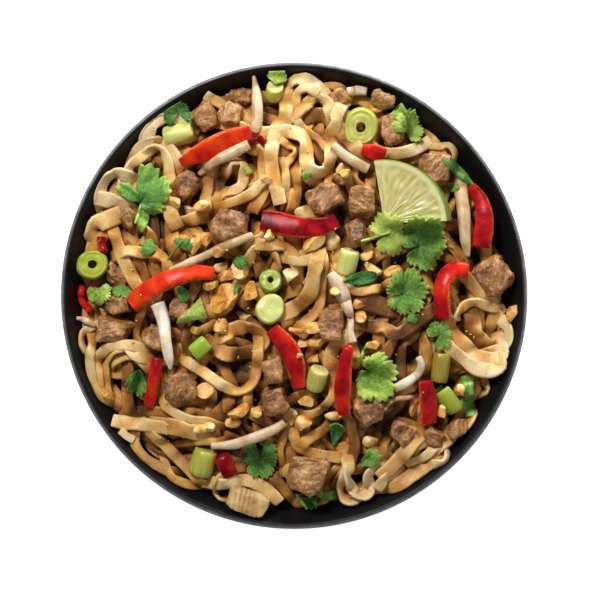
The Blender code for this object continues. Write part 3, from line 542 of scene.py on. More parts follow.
def relief_material(name, stops, grain, rough, moist, subsurface=0.1, seared=0.0, mottle=0.3):
    """Food whose colour follows its relief: painted shade in the clefts, painted highlight on the crests, and
    patches that are seared.
    """
    made, add, shader = new_material(name)
    place = add("TexCoord")["Object"]
    relief = add("Attribute", attribute_name="relief")["Fac"]
    tone = add("Attribute", attribute_name="tone")["Fac"]
    fine = add("TexNoise", {"Vector": place, "Scale": per_mm(grain), "Detail": 5, "Roughness": 0.65})["Fac"]
    fine_share = add("MapRange", [fine, 0.32, 0.68, -mottle, mottle])[0]
    # painted shade and highlight: the colour follows the relief, darker in the clefts and lighter on the
    # crests, with grain, tone and seared patches added
    level = add("Math", [relief, fine_share], operation="ADD")[0]
    level = add("Math", [level, tone], operation="ADD")[0]
    patches = add("TexNoise", {"Vector": place, "Scale": per_mm(9), "Detail": 2})["Fac"]
    patches = add("MapRange", [patches, 0.38, 0.62, -seared, seared])[0]
    level = add("Math", [level, patches], operation="ADD")[0]
    base = add("ValToRGB", [level], stops=stops)["Color"]
    gloss = add("MapRange", [fine, 0.35, 0.65, moist, rough])[0]
    bump = add("Bump", {"Height": fine, "Strength": 0.8, "Distance": 0.6 * MM})["Normal"]
    set_shader(
        shader, base_color=base, roughness=gloss, normal=bump, specular_ior_level=0.65,
        subsurface_weight=subsurface, subsurface_radius=(1.0, 0.5, 0.3), subsurface_scale=1.2 * MM,
    )
    return made


def red_pepper_skin():
    """Red pepper: a waxy glossy skin over wet, paler flesh that shows along the cut sides."""
    made, add, shader = new_material("red_pepper_skin")
    place = add("TexCoord")["Object"]
    strand = add("Attribute", attribute_name="strand")["Vector"]
    skin = add("Attribute", attribute_name="skin")["Fac"]
    tone = add("SeparateXYZ", [strand])["Z"]
    patch = add("TexNoise", {"Vector": place, "Scale": per_mm(9), "Detail": 2})["Fac"]
    patch = add("MapRange", [patch, 0.3, 0.7, -0.3, 0.35])[0]
    tone = add("Math", [tone, patch], operation="ADD")[0]
    skin_colour = add(
        "ValToRGB", [tone], stops=((0.0, "E64A18"), (0.35, "D02C18"), (0.65, "AE151A"), (1, "680A12"))
    )["Color"]
    pulp = add("TexNoise", {"Vector": place, "Scale": per_mm(1.3), "Detail": 3})["Fac"]
    flesh_colour = add(
        "ValToRGB", [pulp], stops=((0.3, "B02C10"), (0.5, "D95224"), (0.7, "EC9460"))
    )["Color"]
    base = add("Mix", {"Factor": skin, "A": flesh_colour, "B": skin_colour}, data_type="RGBA")["Result"]
    rough = add("MapRange", [skin, 0, 1, 0.5, 0.22])[0]
    bump = add("Bump", {"Height": pulp, "Strength": 0.22, "Distance": 0.4 * MM})["Normal"]
    set_shader(
        shader, base_color=base, roughness=rough, normal=bump, specular_ior_level=0.1,
        subsurface_weight=0.12, subsurface_radius=(1.0, 0.25, 0.1), subsurface_scale=1.5 * MM,
    )
    return made


def fibrous_stalk(name, stops, scale):
    """Stalk of scallion or sprout: juicy fibres along it, brighter where it is cut."""
    made, add, shader = new_material(name)
    strand = add("Attribute", attribute_name="strand")["Vector"]
    tone = add("SeparateXYZ", [strand])["Z"]
    fibre_place = add("VectorMath", [strand, (0.15, scale, 1)], operation="MULTIPLY")[0]
    fibre = add("TexNoise", {"Vector": fibre_place, "Scale": 1, "Detail": 3})["Fac"]
    shift = add("MapRange", [fibre, 0.3, 0.7, -0.14, 0.14])[0]
    tone = add("Math", [tone, shift], operation="ADD")[0]
    place = add("TexCoord")["Object"]
    sauce = add("TexNoise", {"Vector": place, "Scale": per_mm(7), "Detail": 4, "Roughness": 0.65})["Fac"]
    sauce = add("MapRange", [sauce, 0.42, 0.66, -0.05, 0.3])[0]
    tone = add("Math", [tone, sauce], operation="ADD")[0]
    base = add("ValToRGB", [tone], stops=stops)["Color"]
    bump = add("Bump", {"Height": fibre, "Strength": 0.3, "Distance": 0.3 * MM})["Normal"]
    set_shader(
        shader, base_color=base, roughness=0.42, normal=bump, subsurface_weight=0.25,
        subsurface_radius=(1.0, 0.9, 0.7), subsurface_scale=0.9 * MM,
    )
    return made


def cut_scallion():
    """Cut scallion: a waxy green outside with fine fibres, and pale wet rings on the cut face."""
    made, add, shader = new_material("cut_scallion")
    strand = add("Attribute", attribute_name="strand")["Vector"]
    ring = add("Attribute", attribute_name="ring")["Vector"]
    ring = add("SeparateXYZ", [ring])
    tone = add("SeparateXYZ", [strand])["Z"]
    fibre_place = add("VectorMath", [strand, (0.12, 1.3, 0)], operation="MULTIPLY")[0]
    fibre = add("TexNoise", {"Vector": fibre_place, "Scale": 1, "Detail": 3})["Fac"]
    wave = add("Math", [ring["X"], 2 * math.pi], operation="MULTIPLY")[0]
    wave = add("Math", [wave], operation="COSINE")[0]
    line = add("MapRange", [wave, -0.4, -1.0, 0, 0.2])[0]
    line = add("Math", [line, ring["Y"]], operation="MULTIPLY")[0]
    shift = add("MapRange", [fibre, 0.3, 0.7, -0.06, 0.06])[0]
    tone = add("Math", [tone, shift], operation="ADD")[0]
    tone = add("Math", [tone, line], operation="ADD")[0]
    base = add(
        "ValToRGB", [tone],
        stops=(
            (0.0, "EEEEC0"), (0.18, "DFE090"), (0.38, "BDCB4C"), (0.6, "8BB030"), (0.8, "5C8A27"),
            (1, "335C1C"),
        ),
    )["Color"]
    stain = add("Math", [ring["Z"], fibre], operation="MULTIPLY")[0]
    base = add("Mix", {"Factor": stain, "A": base, "B": colour("A0692A")}, data_type="RGBA")["Result"]
    bump = add("Bump", {"Height": fibre, "Strength": 0.12, "Distance": 0.3 * MM})["Normal"]
    set_shader(
        shader, base_color=base, roughness=0.32, normal=bump, subsurface_weight=0.2,
        subsurface_radius=(0.8, 1.0, 0.3), subsurface_scale=1.5 * MM,
    )
    return made


def lime_flesh_and_rind():
    """Cut lime: pale wet juice sacs between white membranes, a pith band and a waxy green rind."""
    made, add, shader = new_material("lime_flesh_and_rind")
    polar = add("Attribute", attribute_name="polar")["Vector"]
    web = add("Attribute", attribute_name="web")["Fac"]
    rind = add("Attribute", attribute_name="rind")["Fac"]
    sac_place = add("VectorMath", [polar, (0.16, 0.75, 1)], operation="MULTIPLY")[0]
    sacs = add("TexVoronoi", {"Vector": sac_place, "Scale": 1.0}, feature="SMOOTH_F1")["Distance"]
    flesh = add("ValToRGB", [sacs], stops=((0.05, "C6BC6C"), (0.4, "D2CA82"), (0.8, "DED9A0")))["Color"]
    base = add("Mix", {"Factor": web, "A": flesh, "B": colour("E2DFAA")}, data_type="RGBA")["Result"]
    skin = add(
        "ValToRGB", [rind], stops=((0.0, "E6E4B0"), (0.3, "C9CF66"), (0.6, "86992F"), (1, "4E6820"))
    )["Color"]
    on_rind = add("MapRange", [rind, 0.02, 0.2])[0]
    base = add("Mix", {"Factor": on_rind, "A": base, "B": skin}, data_type="RGBA")["Result"]
    bump = add("Bump", {"Height": sacs, "Strength": 0.35, "Distance": 0.6 * MM})["Normal"]
    set_shader(
        shader, base_color=base, roughness=0.28, normal=bump, subsurface_weight=0.3,
        subsurface_radius=(0.9, 1.0, 0.4), subsurface_scale=2 * MM,
    )
    return made


def herb_leaf():
    """Fresh coriander leaf: thin, slightly waxy, lighter along its veins and at its edge."""
    made, add, shader = new_material("herb_leaf")
    leaf = add("Attribute", attribute_name="leaf")["Vector"]
    veins = add("Attribute", attribute_name="veins")["Fac"]
    split = add("SeparateXYZ", [leaf])
    mottle = add("TexNoise", {"Vector": leaf, "Scale": 3.2, "Detail": 3})["Fac"]
    tone = add("MapRange", [mottle, 0.3, 0.7, -0.2, 0.2])[0]
    tone = add("Math", [split["Z"], tone], operation="ADD")[0]
    blade = add(
        "ValToRGB", [tone], stops=((0.0, "BECB66"), (0.3, "96B44C"), (0.6, "608F3C"), (1, "2E622E"))
    )["Color"]
    base = add("Mix", {"Factor": veins, "A": blade, "B": colour("B5CE66")}, data_type="RGBA")["Result"]
    bump = add("Bump", {"Height": veins, "Strength": 0.35, "Distance": 0.3 * MM})["Normal"]
    set_shader(
        shader, base_color=base, roughness=0.6, normal=bump, specular_ior_level=0.25,
        subsurface_weight=0.18, subsurface_radius=(0.5, 1.0, 0.2), subsurface_scale=1 * MM,
    )
    return made


def plain_paper(tint):
    """Seamless studio paper on a light table: matt, faintly mottled, and lit from below too."""
    made, add, shader = new_material("plain_paper")
    place = add("TexCoord")["Object"]
    mottle = add("TexNoise", {"Vector": place, "Scale": per_mm(3)})["Fac"]
    base = add(
        "Mix", {"Factor": mottle, "A": (*tint, 1), "B": colour("F6F6F5")}, data_type="RGBA"
    )["Result"]
    set_shader(shader, base_color=base, roughness=0.9, emission_color=base, emission_strength=0.9)
    return made


# --- meshes


def of_kind(items, kind):
    """Those of an operator's results that are vertices, edges or faces."""
    return [item for item in items if isinstance(item, kind)]


def spun(bm, section, steps, degrees=360, closed=True):
    """Spins a section, which is given as radii and heights, about the z axis."""
    verts = [bm.verts.new((r, 0, z)) for r, z in section]
    edges = [bm.edges.new(pair) for pair in zip(verts, verts[1:] + verts[:1] if closed else verts[1:])]
    bmesh.ops.spin(
        bm, geom=[*verts, *edges], axis=(0, 0, 1), angle=math.radians(degrees), steps=steps,
        use_merge=degrees == 360, use_duplicate=False,
    )


def mesh_of(bm, name="part"):
    """A mesh from a bmesh, which is freed."""
    mesh = bpy.data.meshes.new(name)
    bm.to_mesh(mesh)
    bm.free()
    return mesh


def coords(mesh):
    """The mesh's vertices as rows of an array."""
    values = np.empty(len(mesh.vertices) * 3, np.float32)
    mesh.vertices.foreach_get("co", values)
    return values.reshape(-1, 3).astype(float)


def unit_bar(sides, rings):
    """A straight bar of unit radius from z 0 to z 1, cut across into even rings."""
    bm = bmesh.new()
    bmesh.ops.create_cone(bm, cap_ends=True, segments=sides, radius1=1, radius2=1, depth=1)
    bmesh.ops.translate(bm, vec=(0, 0, 0.5), verts=bm.verts)
    lengthwise = [e for e in bm.edges if abs(e.verts[0].co.z - e.verts[1].co.z) > 0.5]
    bmesh.ops.subdivide_edges(bm, edges=lengthwise, cuts=rings - 2)
    return mesh_of(bm)


class Batch:
    """Pieces of one kind, gathered in millimetres and made one object in metres."""

    def __init__(self):
        self.bm = bmesh.new()
        self.bars = {}

    def add(self, mesh, points, **attributes):
        """Adds a copy of a mesh with its vertices moved to the points, and with those attributes."""
        piece = mesh.copy()
        piece.vertices.foreach_set("co", np.asarray(points, np.float32).ravel())
        for name, values in attributes.items():
            values = np.asarray(values, np.float32)
            kind, key = ("FLOAT_VECTOR", "vector") if values.ndim == 2 else ("FLOAT", "value")
            piece.attributes.new(name, kind, "POINT").data.foreach_set(key, values.ravel())
        self.bm.from_mesh(piece)
        bpy.data.meshes.remove(piece)

    def bar(self, sides, rings):
        """The unit bar of that many sides and rings, made once."""
        if (sides, rings) not in self.bars:
            self.bars[sides, rings] = unit_bar(sides, rings)
        return self.bars[sides, rings]

    def join(self, bm):
        """Adds a finished shape, kept clear of the bowl's wall, and frees it."""
        mesh = mesh_of(bm)
        mesh.vertices.foreach_set("co", kept_in_bowl(coords(mesh)).astype(np.float32).ravel())
        self.bm.from_mesh(mesh)
        bpy.data.meshes.remove(mesh)

    def finish(self, name, material, replaced=(), sharp=None):
        """Makes the gathered pieces one object that rides the body, in place of those solids."""
        for mesh in self.bars.values():
            bpy.data.meshes.remove(mesh)
        bmesh.ops.scale(self.bm, vec=(MM, MM, MM), verts=self.bm.verts)
        mesh = mesh_of(self.bm, name)
        mesh.shade_smooth()
        if sharp:
            mesh.set_sharp_from_angle(angle=math.radians(sharp))
        obj = bpy.data.objects.new(name, mesh)
        bpy.context.scene.collection.objects.link(obj)
        mesh.materials.append(material)
        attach(obj, "root")
        if replaced:
            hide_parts(*replaced)
        return obj


def smooth_route(points, spacing):
    """Evenly spaced points on the Catmull-Rom curve through the route's own points."""
    p = np.array(points, float)
    p = np.vstack([2 * p[0] - p[1], p, 2 * p[-1] - p[-2]])
    t = np.arange(0, 1, 0.05)[:, None]
    pieces = [
        b + (c - a) / 2 * t + (2 * a - 5 * b + 4 * c - d) / 2 * t**2 + (3 * b - a - 3 * c + d) / 2 * t**3
        for a, b, c, d in zip(p, p[1:], p[2:], p[3:])
    ]
    curve = np.vstack([*pieces, p[-2]])
    along = np.concatenate([[0], np.cumsum(np.linalg.norm(np.diff(curve, axis=0), axis=1))])
    even = np.linspace(0, along[-1], max(round(along[-1] / spacing), 3) + 1)
    return np.column_stack([np.interp(even, along, axis) for axis in curve.T])


def smoothed(values, reach):
    """Values averaged with a bell-shaped weight over that many neighbours each way."""
    weights = np.exp(-np.linspace(-2, 2, 2 * reach + 1) ** 2)
    return np.convolve(np.pad(values, reach, mode="edge"), weights / weights.sum(), "valid")


def lifted(values, reach):
    """Each value raised to the highest within that many neighbours each way."""
    padded = np.pad(values, reach, mode="edge")
    return np.max([padded[i : i + len(values)] for i in range(2 * reach + 1)], axis=0)


def wall_radius(height):
    """Radius of the bowl's inner wall at each height above its floor, or that of the lip above the rim."""
    drop = np.clip(ARC_CENTRE - np.asarray(height), ARC_INNER * math.cos(WALL_SWEEP), ARC_INNER)
    return FLOOR_RADIUS + np.sqrt(ARC_INNER**2 - drop**2)


def wall_height(radius):
    """Height of the bowl's inside at each radius."""
    run = np.clip(radius - FLOOR_RADIUS, 0, ARC_INNER * math.sin(WALL_SWEEP))
    return ARC_CENTRE - np.sqrt(ARC_INNER**2 - run**2)


CLEARANCE = 0.5  # between the food and the bowl's wall


def kept_in_bowl(points):
    """Points moved towards the axis where they are closer than the clearance to the wall."""
    reach = np.hypot(points[:, 0], points[:, 1])
    room = wall_radius(points[:, 2]) - CLEARANCE
    share = np.where(reach > room, room / np.maximum(reach, 1), 1)
    return points * np.column_stack([share, share, np.ones(len(points))])


def surface_height(x, y):
    """Height of the heap's uneven surface, as in the solids."""
    reach = math.hypot(x, y) / float(wall_radius(HEAP_EDGE))
    around = Vector((x, y, 0)).normalized()
    edge = HEAP_EDGE + HEAP_EDGE_SWING * 2 * noise.noise(around * 1.6)
    height = edge + (HEAP_MIDDLE - edge) * (1 - min(reach, 1) ** HEAP_FLATNESS)
    for spacing, size in LUMPS:
        height += 2 * size * noise.noise(Vector((x / spacing, y / spacing, spacing)))
    return height


RAY_FROM = 200.0  # rays start above all food


def height_of(tree, x, y, missed):
    """Height at which a ray from above meets the tree, or the value for a miss."""
    hit = tree.ray_cast(Vector((x, y, RAY_FROM)), Vector((0, 0, -1)))[0]
    return hit.z if hit else missed


def tree_of(names):
    """What a ray can hit of those solids."""
    bm = bmesh.new()
    for name in names:
        bm.from_mesh(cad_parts[name].data)
    bmesh.ops.scale(bm, vec=(1 / MM, 1 / MM, 1 / MM), verts=bm.verts)
    tree = BVHTree.FromBMesh(bm)
    bm.free()
    return tree


class Food:
    """The food so far, as its highest point over each spot of a square grid."""

    STEP = 0.75
    REACH = 114.0

    def __init__(self):
        self.axis = np.arange(-self.REACH, self.REACH + self.STEP, self.STEP)
        self.level = np.array([[surface_height(x, y) for y in self.axis] for x in self.axis])
        reach = np.hypot(self.axis[:, None], self.axis[None, :])
        self.top = np.maximum(self.level + CORE_TOP, wall_height(reach))
        toppings = [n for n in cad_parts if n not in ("bowl", "noodle_heap")]
        tree = tree_of(toppings)
        self.toppings = np.array([[height_of(tree, x, y, -np.inf) for y in self.axis] for x in self.axis])

    def spot(self, x, y):
        """Row and column of the grid nearest to a place."""
        last = len(self.axis) - 1
        i = np.clip(np.rint((np.asarray(x) + self.REACH) / self.STEP).astype(int), 0, last)
        j = np.clip(np.rint((np.asarray(y) + self.REACH) / self.STEP).astype(int), 0, last)
        return i, j

    def raise_to(self, x, y, z):
        """Records food that reaches those heights at those places."""
        np.maximum.at(self.top, self.spot(x, y), z)

    def raise_disc(self, x, y, radius, z):
        """Records a round piece of food that reaches that height."""
        offsets = np.arange(-radius, radius + self.STEP, self.STEP)
        u, v = np.meshgrid(offsets, offsets)
        inside = u**2 + v**2 <= radius**2
        self.raise_to(x + u[inside], y + v[inside], z)

    def rest(self, x, y, radius, percent):
        """The height that a small thing lies at: that percentile of the food under it."""
        offsets = np.arange(-radius, radius + 0.1, 0.5)
        u, v = np.meshgrid(offsets, offsets)
        return float(np.percentile(self.top[self.spot(x + u, y + v)], percent))

    def draped(self, crests, smoothing):
        """The food's height under a leaf: its crests, spread and smoothed."""
        top = self.top.copy()
        for merged, times in ((np.max, crests), (np.mean, smoothing)):
            for _ in range(times):
                top = merged([top, *[np.roll(top, s, axis) for s in (-1, 1) for axis in (0, 1)]], axis=0)
        return top


# --- laying strips on the food


DARKEST = 9.0  # food that lies this far below the heap's surface is at its darkest, by painted shade and more sauce


class Strip:
    """A strip that follows a route: its centre line, its turn about it, and its width along it."""

    EDGE = 0.35  # the last bit of each end, which is rounded
    STEEPEST = 0.95  # how far a bend may bank the strip, in radians
    LEAN = 6.0  # how strongly bends do so
    TWIST = 0.4  # how far chance banks it
    TWIST_LENGTH = 22.0
    SWELL = 0.16  # how much chance widens it
    SWELL_LENGTH = 14.0

    def __init__(self, route, width, thickness, seed, lean=0.0, profile=(1, 1), spacing=1.5):
        self.xy = smooth_route(route, spacing)
        self.seed = seed
        step = np.gradient(self.xy, axis=0)
        length = np.linalg.norm(step, axis=1)
        self.along = np.concatenate([[0], np.cumsum(np.linalg.norm(np.diff(self.xy, axis=0), axis=1))])
        self.forward = step / length[:, None]
        self.side = np.column_stack([-self.forward[:, 1], self.forward[:, 0]])
        bearing = np.unwrap(np.arctan2(self.forward[:, 1], self.forward[:, 0]))
        bend = smoothed(np.gradient(bearing) / spacing, 2)
        lean_in = np.clip(lean * bend * self.LEAN, -self.STEEPEST, self.STEEPEST)
        self.bank = smoothed(lean_in + self.TWIST * self.chance(self.TWIST_LENGTH, seed * 7.3, 1), 2)
        share = np.interp(self.along / self.along[-1], np.linspace(0, 1, len(profile)), profile)
        self.width = width * (1 + self.SWELL * self.chance(self.SWELL_LENGTH, seed * 3.1, 5)) * share
        self.thickness = thickness * share
        self.z = np.zeros(len(self.xy))

    def chance(self, length, row, layer):
        """Smooth noise along the strip, with waves of that length."""
        return np.array([noise.noise(Vector((s / length, row, layer))) for s in self.along])

    def across(self, count):
        """Offsets from the centre line, sideways and up, for that many places across the strip."""
        out = np.linspace(-0.5, 0.5, count)[None, :] * self.width[:, None]
        return out * np.cos(self.bank)[:, None], out * np.sin(self.bank)[:, None]

    def lie_on(self, food, sunk, roll=0.6, cover=None):
        """Rests the strip on the food, tipped to its slope, with its ends sunk below the rest."""
        side, up = self.across(7)
        x = self.xy[:, :1] + self.side[:, :1] * side
        y = self.xy[:, 1:] + self.side[:, 1:] * side
        ground = food.top[food.spot(x, y)]
        slope = np.arctan((ground[:, -1] - ground[:, 0]) / np.maximum(side[:, -1] - side[:, 0], 1))
        self.bank = self.bank + roll * smoothed(np.clip(slope, -0.7, 0.7), 2)
        side, up = self.across(7)
        need = (ground - up).max(axis=1) + self.thickness / 2
        z = smoothed(lifted(need, 1), 2)
        most = food.level[food.spot(*self.xy.T)] + PROUD
        z = np.where(z > most, most + 0.5 * (z - most), z) - self.sinking(sunk)
        if cover is not None:
            z = np.minimum(z, smoothed(np.minimum(cover[food.spot(*self.xy.T)], 500), 1))
        self.z = z
        return self

    def lie_in(self, node):
        """Puts the strip where a solid's own strip is: the solid's top gives its height and its bank."""
        tree = tree_of([node])
        side = np.array([-0.3, 0, 0.3]) * np.column_stack([self.width] * 3)
        tops = np.empty(side.shape)
        for i, j in np.ndindex(*side.shape):
            tops[i, j] = height_of(tree, *(self.xy[i] + self.side[i] * side[i, j]), np.nan)
        known = np.flatnonzero(np.isfinite(tops).all(axis=1))
        rise = (tops[known, 2] - tops[known, 0]) / (side[known, 2] - side[known, 0])
        self.bank = smoothed(np.interp(self.along, self.along[known], np.arctan(rise)), 3)
        top = np.interp(self.along, self.along[known], tops[known, 1])
        self.z = smoothed(top, 2) - self.thickness / 2 / np.cos(self.bank)
        return self

    def sinking(self, sunk):
        """How far each point is pulled down, at the ends that go under other food."""
        depth = np.zeros(len(self.along))
        for share, distance in zip(sunk, (self.along, self.along[-1] - self.along)):
            near = np.clip(1 - distance / BURIED, 0, 1)
            depth += share * SINK * near * near * (3 - 2 * near)
        return depth

    def cover(self, food):
        """Adds the strip to the food's height."""
        fine = np.linspace(0, len(self.along) - 1, 3 * len(self.along))
        whole = np.arange(len(self.along))
        side, up = self.across(max(5, int(self.width.max() / 0.6)))
        columns = []
        for column in range(side.shape[1]):
            x = self.xy[:, 0] + self.side[:, 0] * side[:, column]
            y = self.xy[:, 1] + self.side[:, 1] * side[:, column]
            z = self.z + up[:, column] + self.thickness / 2 * np.cos(self.bank)
            columns.append([np.interp(fine, whole, values) for values in (x, y, z)])
        x, y, z = np.concatenate(columns, axis=1)
        food.raise_to(x, y, z)

    def add_to(self, batch, food, tone, sides=12, square=4.0, cup=0.0, ends=0.75, skin=None, lit=0.0):
        """Bends a straight bar along the strip and adds it to a batch.

        The bar's section is an ellipse at square 2 and a box above 4, hollow below by the cup, and its ends
        taper to a share of it. Lit is how much lighter the strip gets where it stands out of the heap.
        """
        last = self.along[-1]
        along = np.concatenate([[0, self.EDGE], self.along[1:-1], [last - self.EDGE, last]])
        centre = np.column_stack([np.interp(along, self.along, v) for v in (*self.xy.T, self.z)])
        forward = np.gradient(centre, axis=0)
        forward /= np.linalg.norm(forward, axis=1)[:, None]
        level_side = [np.interp(along, self.along, v) for v in self.side.T]
        level_side = np.column_stack([*level_side, np.zeros(len(along))])
        level_side /= np.linalg.norm(level_side, axis=1)[:, None]
        upright = np.cross(forward, level_side)
        bank = np.interp(along, self.along, self.bank)[:, None]
        across = level_side * np.cos(bank) + upright * np.sin(bank)
        over = upright * np.cos(bank) - level_side * np.sin(bank)
        width = np.interp(along, self.along, self.width)
        thickness = np.interp(along, self.along, self.thickness)
        scale = np.ones(len(along))
        scale[[0, -1]] = ends
        bar = batch.bar(sides, len(along))
        unit = coords(bar)
        ring = np.rint(unit[:, 2] * (len(along) - 1)).astype(int)
        a = np.sign(unit[:, 0]) * np.abs(unit[:, 0]) ** (2 / square)
        b = np.sign(unit[:, 1]) * np.abs(unit[:, 1]) ** (2 / square)
        b_out = b + cup * (1 - a * a)
        points = (
            centre[ring]
            + across[ring] * (a * scale[ring] * width[ring] / 2)[:, None]
            + over[ring] * (b_out * scale[ring] * thickness[ring] / 2)[:, None]
        )
        points = kept_in_bowl(points)
        # below: how far under the heap's surface each point lies; the material turns its depth into more
        # sauce and painted shade, and lit into painted light where the strip stands out
        below = (food.level[food.spot(points[:, 0], points[:, 1])] - points[:, 2]) / DARKEST
        shade = tone + lit * np.clip(below, -0.3, 0)
        strand = np.column_stack([along[ring] + self.seed * 37, a * width[ring] / 2, shade])
        values = {"strand": strand, "depth": np.clip(below, 0, 1)}
        if skin is not None:
            values["skin"] = skin(a, b)
        batch.add(bar, points, **values)


SINK = 5.5  # how far a buried end goes down
BURIED = 13.0  # over this length
PROUD = 1.6  # noodles that would lie higher than this above the heap's surface are pressed down
EDGE_ROOM = 5.5  # loose noodles keep this far from the heap's edge,
TURN_ROOM = 12.0  # and start to turn back this far before that
WANDER_STEP = 4.0


def with_buried_ends(route, shown, seed):
    """The route, carried on past each end that doesn't show, and which ends those are."""
    points = [Vector(p) for p in route]
    turn = random.Random(seed)
    sunk = ["s" not in shown, "e" not in shown]
    if sunk[1]:
        points.append(carried_on(points[-2], points[-1], turn))
    if sunk[0]:
        points.insert(0, carried_on(points[1], points[0], turn))
    return [tuple(p) for p in points], sunk


def carried_on(before, end, turn):
    """A point past the end, turned a little, and never past the heap's edge."""
    ahead = (end - before).normalized() * (BURIED - 2)
    ahead.rotate(Matrix.Rotation(turn.uniform(-0.5, 0.5), 2))
    beyond = end + ahead
    limit = float(wall_radius(HEAP_EDGE)) - 6
    return beyond * (limit / beyond.length) if beyond.length > limit else beyond


def wandering_route(draw, food, lengths, spots):
    """A loose noodle's route: a smooth wander from the lowest of some places, turned back along the wall."""
    limit = float(wall_radius(HEAP_EDGE)) - EDGE_ROOM
    tries = [(limit * math.sqrt(draw.random()), draw.uniform(0, 2 * math.pi)) for _ in range(spots)]
    reach, around = np.array(tries).T
    x, y = reach * np.cos(around), reach * np.sin(around)
    lowest = int(np.argmin((food.top - food.level)[food.spot(x, y)]))
    place = Vector((x[lowest], y[lowest]))
    heading = draw.uniform(0, 2 * math.pi)
    waves = [(draw.uniform(0.03, 0.075), draw.uniform(28, 80), draw.uniform(0, 6.3)) for _ in range(2)]
    if lengths[1] < FILLER_LENGTHS[0]:
        place -= Vector((math.cos(heading), math.sin(heading))) * sum(lengths) / 4
    route = [tuple(place)]
    for distance in np.arange(WANDER_STEP, draw.uniform(*lengths), WANDER_STEP):
        bends = [size * math.sin(2 * math.pi * distance / wave + phase) for size, wave, phase in waves]
        heading += WANDER_STEP * sum(bends)
        if place.length > limit - TURN_ROOM:
            outward = math.atan2(place.y, place.x)
            apart = (heading - outward + math.pi) % (2 * math.pi) - math.pi
            wanted = math.copysign(math.pi / 2 + 0.25, apart)
            heading += 0.45 * (wanted - apart) * (place.length - limit + TURN_ROOM) / TURN_ROOM
        place = place + Vector((math.cos(heading), math.sin(heading))) * WANDER_STEP
        if place.length > limit:
            place *= limit / place.length
        route.append(tuple(place))
    return route


# --- operators


def settings():
    """The sizes and the colours that the user sets."""
    return bpy.context.scene.pad_thai_sizes, bpy.context.scene.pad_thai_colours


FOOD = Food()  # shared by the operators, which lay each kind of food on those before it


class PADTHAI_OT_bowl(bpy.types.Operator):
    """Turn the bowl: floor, arched wall, rounded lip and foot ring"""

    bl_idname = "padthai.bowl"
    bl_label = "Bowl"

    ARC_STEPS = 26
    LIP_STEPS = 11
    FOOT_ROUND = 0.6

    def execute(self, context):
        sizes, colours = settings()
        inside = [(ARC_INNER, a) for a in np.linspace(0, WALL_SWEEP, self.ARC_STEPS)]
        outside = [(ARC_OUTER, a) for a in np.linspace(WALL_SWEEP, math.radians(6), self.ARC_STEPS)]
        wall = [
            (FLOOR_RADIUS + r * math.sin(a), ARC_CENTRE - r * math.cos(a)) for r, a in (*inside, *outside)
        ]
        middle = (ARC_INNER + ARC_OUTER) / 2
        lip_x = FLOOR_RADIUS + middle * math.sin(WALL_SWEEP)
        lip_z = ARC_CENTRE - middle * math.cos(WALL_SWEEP)
        turns = np.linspace(math.pi, 0, self.LIP_STEPS)[1:-1] - (math.pi / 2 - WALL_SWEEP)
        lip = [(lip_x + WALL / 2 * math.cos(a), lip_z + WALL / 2 * math.sin(a)) for a in turns]
        bevel = self.FOOT_ROUND
        foot = [
            (FOOT_OUTER, bevel), (FOOT_OUTER - bevel, 0), (FOOT_INNER + bevel, 0), (FOOT_INNER, bevel),
            (FOOT_INNER - bevel, FOOT_RECESS), (FOOT_INNER / 2, FOOT_RECESS), (0, FOOT_RECESS),
        ]
        floor = [(FLOOR_RADIUS * share, FLOOR_HEIGHT) for share in (0, 0.35, 0.7)]
        batch = Batch()
        bm = batch.bm
        profile = [*floor, *wall[:self.ARC_STEPS], *lip, *wall[self.ARC_STEPS:], *foot]
        spun(bm, profile, sizes.bowl_steps, closed=False)
        bmesh.ops.remove_doubles(bm, verts=bm.verts, dist=0.001)
        bmesh.ops.recalc_face_normals(bm, faces=bm.faces)
        # lip: how much of the painted grey highlight each point of the outer lip gets
        layer = bm.verts.layers.float.new("lip")
        for vert in bm.verts:
            reach = math.hypot(vert.co.x, vert.co.y)
            near = math.hypot(reach - lip_x, vert.co.z - lip_z) < WALL * 0.6
            vert[layer] = clamp((reach - lip_x + 0.3) / 0.9) if near else 0
        batch.finish("black_bowl", satin_black_glaze(colours.bowl_glaze), ["bowl"], sharp=40)
        return {"FINISHED"}


class PADTHAI_OT_noodles(bpy.types.Operator):
    """Fill the bowl with noodles: the hidden ones first, then each one that shows"""

    bl_idname = "padthai.noodles"
    bl_label = "Noodles"

    def execute(self, context):
        sizes, colours = settings()
        thickness = sizes.noodle_thickness / MM
        cover = np.where(np.isfinite(FOOD.toppings), FOOD.toppings - UNDER_TOPPINGS, np.inf)
        noodle = rice_noodle(colours.sauce)
        hidden = Batch()
        draw = random.Random(31)
        placed = 0
        for attempt in range(FILLER_TRIES):
            if placed >= sizes.filler_noodles:
                break
            short = attempt > LONG_TRIES
            lengths, spots = (SHORT_LENGTHS, 150) if short else (FILLER_LENGTHS, 20)
            route = wandering_route(draw, FOOD, lengths, spots)
            width = draw.uniform(*FILLER_WIDTHS)
            strip = Strip(route, width, thickness, attempt, draw.choice((-1, 1)))
            strip.lie_on(FOOD, (True, True), cover=cover)
            above = strip.z - FOOD.level[FOOD.spot(*strip.xy.T)]
            if np.mean(above) > FILLER_TOP + short or np.percentile(above, 90) > FILLER_TOP + 2.5:
                continue
            strip.cover(FOOD)
            strip.add_to(hidden, FOOD, draw.uniform(0.1, 0.44), sides=8)
            placed += 1
        shown = Batch()
        for seed, (width, tone, ends, route) in enumerate(NOODLES):
            points, sunk = with_buried_ends(route, ends, seed)
            strip = Strip(points, NOODLE_SWELL * width, thickness, seed + 0.5, draw.choice((-0.9, 0.9)))
            strip.lie_on(FOOD, sunk, cover=cover)
            strip.cover(FOOD)
            strip.add_to(shown, FOOD, tone - 0.03, cup=draw.uniform(-0.25, 0.25), lit=0.4)
        hidden.finish("noodles_below", noodle, ["noodle_heap"])
        shown.finish("noodles_on_top", noodle, ["noodle_heap"])
        FOOD.top = np.maximum(FOOD.top, FOOD.toppings)
        return {"FINISHED"}


